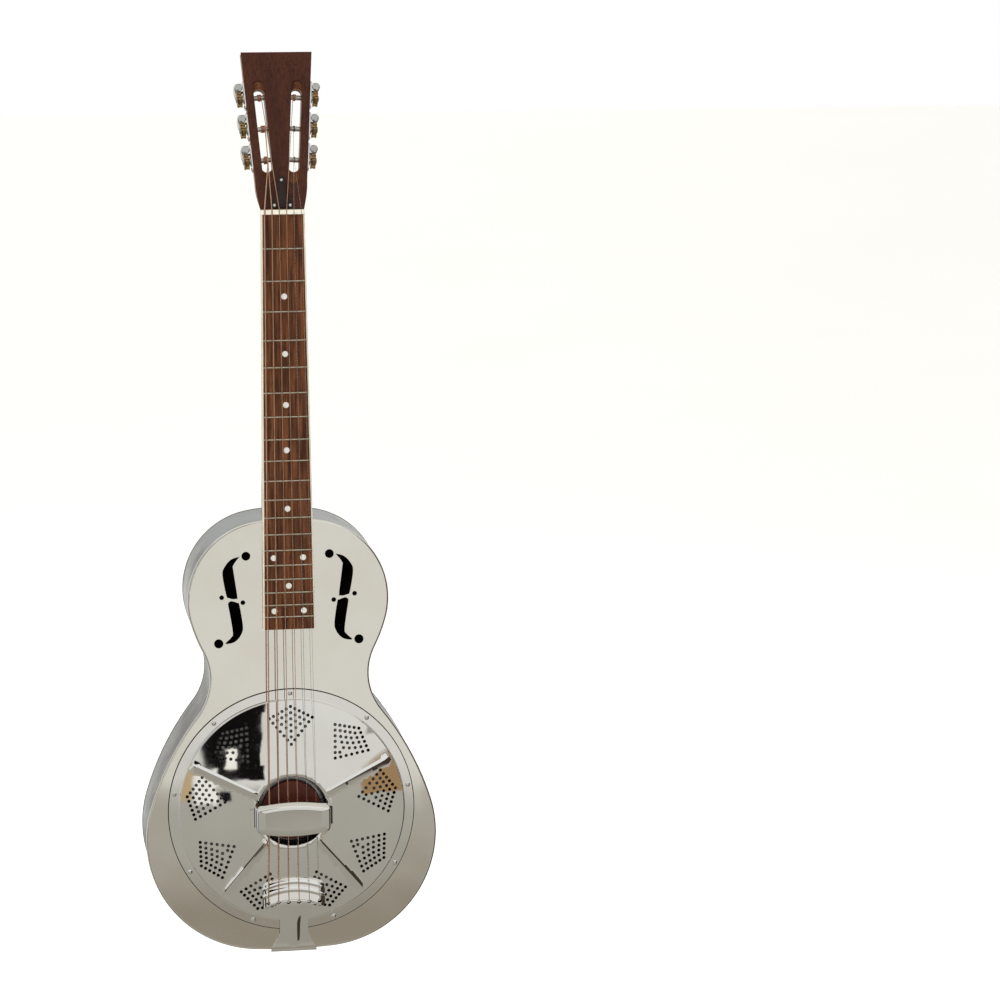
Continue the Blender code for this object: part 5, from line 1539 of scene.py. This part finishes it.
# ---------------------------------------------------------------- studio
def band(tree, value, low, high, soft):
    """1 between low and high, with soft edges."""
    rise = spread(tree, value, low - soft, low + soft, 0.0, 1.0)
    fall = spread(tree, value, high - soft, high + soft, 1.0, 0.0)
    return math_node(tree, "MULTIPLY", rise, fall)


HORIZON = -13.6             # degrees, where the wall meets the floor
# Things in the room: 0 behind, 1 in front, 2 in front and below the horizon; degrees left, right, low, high;
# softness of the edges; colour
CARDS = (
    (1, -6.9, 2.5, -6.4, 16.0, 0.12, (0.006, 0.005, 0.005)),
    (1, -3.9, 2.5, -10.6, -6.0, 0.12, (0.006, 0.005, 0.005)),
    (1, -1.75, -0.4, -9.4, -7.3, 0.08, (1.0, 0.97, 0.88)),
    (1, 2.15, 2.8, -9.2, -3.8, 0.08, (0.72, 0.70, 0.64)),
    (1, -4.7, -2.4, -13.1, -9.3, 0.15, (0.95, 0.93, 0.85)),
    (1, -2.1, -1.1, -12.8, -11.9, 0.15, (0.006, 0.005, 0.005)),
    (1, -7.2, -4.9, -12.7, -8.7, 0.12, (0.54, 0.40, 0.22)),
    (2, 12.2, 18.8, -12.5, -7.8, 0.15, (0.36, 0.225, 0.11)),
    (1, 13.0, 21.0, -6.6, 2.0, 0.20, (0.34, 0.32, 0.285)),
    (1, 2.4, 8.2, -16.8, -15.1, 0.70, (0.31, 0.275, 0.225)),
    (1, 22.0, 84.0, -60.0, 25.0, 1.5, (0.05, 0.037, 0.028)),
    (1, -46.0, -24.0, -60.0, 30.0, 2.0, (0.08, 0.06, 0.045)),
    (0, 14.0, 20.0, -13.5, 26.0, 0.5, (0.006, 0.005, 0.005)),
    (0, -26.0, -15.0, -12.0, 22.0, 0.8, (0.26, 0.14, 0.065)),
    (0, -21.0, -19.0, -12.0, 22.0, 0.4, (0.02, 0.013, 0.010)),
    (0, 30.0, 44.0, -70.0, 40.0, 1.0, (0.006, 0.005, 0.005)),
)


def linear(tree, value, low, high, out_low, out_high):
    inputs = {"Value": value, "From Min": low, "From Max": high, "To Min": out_low, "To Max": out_high}
    return add(tree, "MapRange", inputs).outputs["Result"]


def build_world():
    """A soft studio: pale walls over a darker floor, with dark, tan and white things standing in the room."""
    world = bpy.data.worlds.new("studio")
    bpy.context.scene.world = world
    world.use_nodes = True
    tree = world.node_tree
    background = tree.nodes["Background"]
    direction = add(tree, "TexCoord").outputs["Generated"]
    parts = add(tree, "SeparateXYZ", {"Vector": direction}).outputs
    height = math_node(tree, "MULTIPLY", math_node(tree, "ARCSINE", parts["Z"]), 180 / math.pi)
    ahead = math_node(tree, "ABSOLUTE", parts["Y"])
    turn = math_node(tree, "MULTIPLY", math_node(tree, "ARCTAN2", parts["X"], ahead), 180 / math.pi)
    in_front = spread(tree, parts["Y"], -0.02, 0.02, 1.0, 0.0)
    behind = math_node(tree, "SUBTRACT", 1.0, in_front)
    wobble = math_node(tree, "SUBTRACT", noise(tree, direction, 16.0, 4.0), 0.5)
    ragged = math_node(tree, "ADD", turn, math_node(tree, "MULTIPLY", wobble, 1.2))
    lifted = math_node(tree, "ADD", height, math_node(tree, "MULTIPLY", wobble, -0.9))
    step = math_node(tree, "ADD", linear(tree, ragged, 2.1, 2.6, 2.3, 0.0),
                     linear(tree, turn, 7.4, 15.2, 0.0, 5.6))
    horizon = math_node(tree, "ADD", math_node(tree, "MULTIPLY", step, in_front), HORIZON)
    over = math_node(tree, "SUBTRACT", height, horizon)
    over = math_node(tree, "MULTIPLY", over,
                     math_node(tree, "ADD", 0.25, math_node(tree, "MULTIPLY", in_front, 0.75)))
    walls = mix_colour(tree, spread(tree, height, -12.0, 12.0, 0.0, 1.0), (0.735, 0.72, 0.67),
                       (0.86, 0.86, 0.84))
    walls = mix_colour(tree, behind, walls, (0.92, 0.92, 0.88))
    ceiling = mix_colour(tree, spread(tree, height, 25.0, 70.0, 0.0, 1.0), walls, (0.66, 0.63, 0.55))
    floor = mix_colour(tree, spread(tree, height, -26.0, -14.0, 0.0, 1.0), (0.36, 0.335, 0.285),
                       (0.43, 0.41, 0.36))
    room = mix_colour(tree, spread(tree, over, -0.5, 0.5, 0.0, 1.0), floor, ceiling)
    low = math_node(tree, "MULTIPLY", in_front, spread(tree, over, -0.5, 0.5, 1.0, 0.0))
    sides = spread(tree, math_node(tree, "ABSOLUTE", parts["X"]), 0.55, 0.85, 0.0, 0.85)
    room = mix_colour(tree, sides, room, (0.62, 0.64, 0.64))
    for where, left, right, bottom, top, soft, colour in CARDS:
        mask = band(tree, lifted, bottom, top, soft)
        mask = math_node(tree, "MULTIPLY", band(tree, ragged, left, right, soft), mask)
        mask = math_node(tree, "MULTIPLY", mask, (behind, in_front, low)[where])
        room = mix_colour(tree, mask, room, colour)
    seen = add(tree, "LightPath").outputs["Is Camera Ray"]
    tree.links.new(mix_colour(tree, seen, room, (1.0, 1.0, 1.0)), background.inputs["Color"])


def build_studio():
    """Pale floor below the hanging guitar, and one broad soft light."""
    size = 30.0
    level = -0.30
    mesh = bpy.data.meshes.new("floor")
    mesh.from_pydata([(-size, -size, level), (size, -size, level), (size, size, level),
                      (-size, size, level)], [],
                     [(0, 1, 2, 3)])
    floor = bpy.data.objects.new("floor", mesh)
    bpy.context.collection.objects.link(floor)
    material, tree, shader, place = new_material("pale_floor", Roughness=0.6)
    shade = spread(tree, noise(tree, place, 1.5, 3.0), 0.3, 0.7, 0.0, 1.0)
    tree.links.new(mix_colour(tree, shade, (0.93, 0.93, 0.93), (0.95, 0.95, 0.95)),
                   shader.inputs["Base Color"])
    shader.inputs["Emission Color"].default_value = (1.0, 1.0, 1.0, 1.0)
    shader.inputs["Emission Strength"].default_value = 0.35
    mesh.materials.append(material)
    floor.visible_glossy = False
    for name, place, power, width in (("key", (-1.6, -2.2, 2.6), 60.0, 1.8),
                                      ("fill", (2.2, 1.8, 2.0), 35.0, 1.8)):
        light = bpy.data.lights.new(name, "AREA")
        light.energy = power
        light.size = width
        lamp = bpy.data.objects.new(name, light)
        lamp.location = place
        lamp.rotation_mode = "QUATERNION"
        lamp.rotation_quaternion = (Vector((0, 0, 0.4)) - Vector(place)).to_track_quat("-Z", "Y")
        lamp.visible_glossy = False
        bpy.context.collection.objects.link(lamp)


def build_camera():
    """A long lens from the player's front, a little to the bass side and above."""
    data = bpy.data.cameras.new("camera")
    data.sensor_width = 36.0
    data.lens = 121.77
    camera = bpy.data.objects.new("camera", data)
    right = Vector((0.98804194, -0.15405682, -0.0062947))
    forward = Vector((0.15128584, 0.97653331, -0.15328171))
    up = right.cross(forward)
    matrix = Matrix((right, up, -forward)).transposed().to_4x4()
    matrix.translation = (-0.31585, -3.54250, 1.04159)
    camera.matrix_world = matrix
    bpy.context.collection.objects.link(camera)
    bpy.context.scene.camera = camera
    bpy.context.scene.view_settings.view_transform = "Standard"


def main():
    build_camera()
    build_world()
    build_studio()
    build_front_plate()
    build_back_plate()
    build_side_band()
    build_cover()
    build_cover_screws()
    build_handrest()
    build_saddle()
    build_tailpiece()
    build_strap_button()
    build_neck()
    build_head_veneer()
    build_fingerboard()
    build_nut()
    build_truss_cover()
    build_tuners()
    build_strings()
    dress_hidden_nodes()


main()
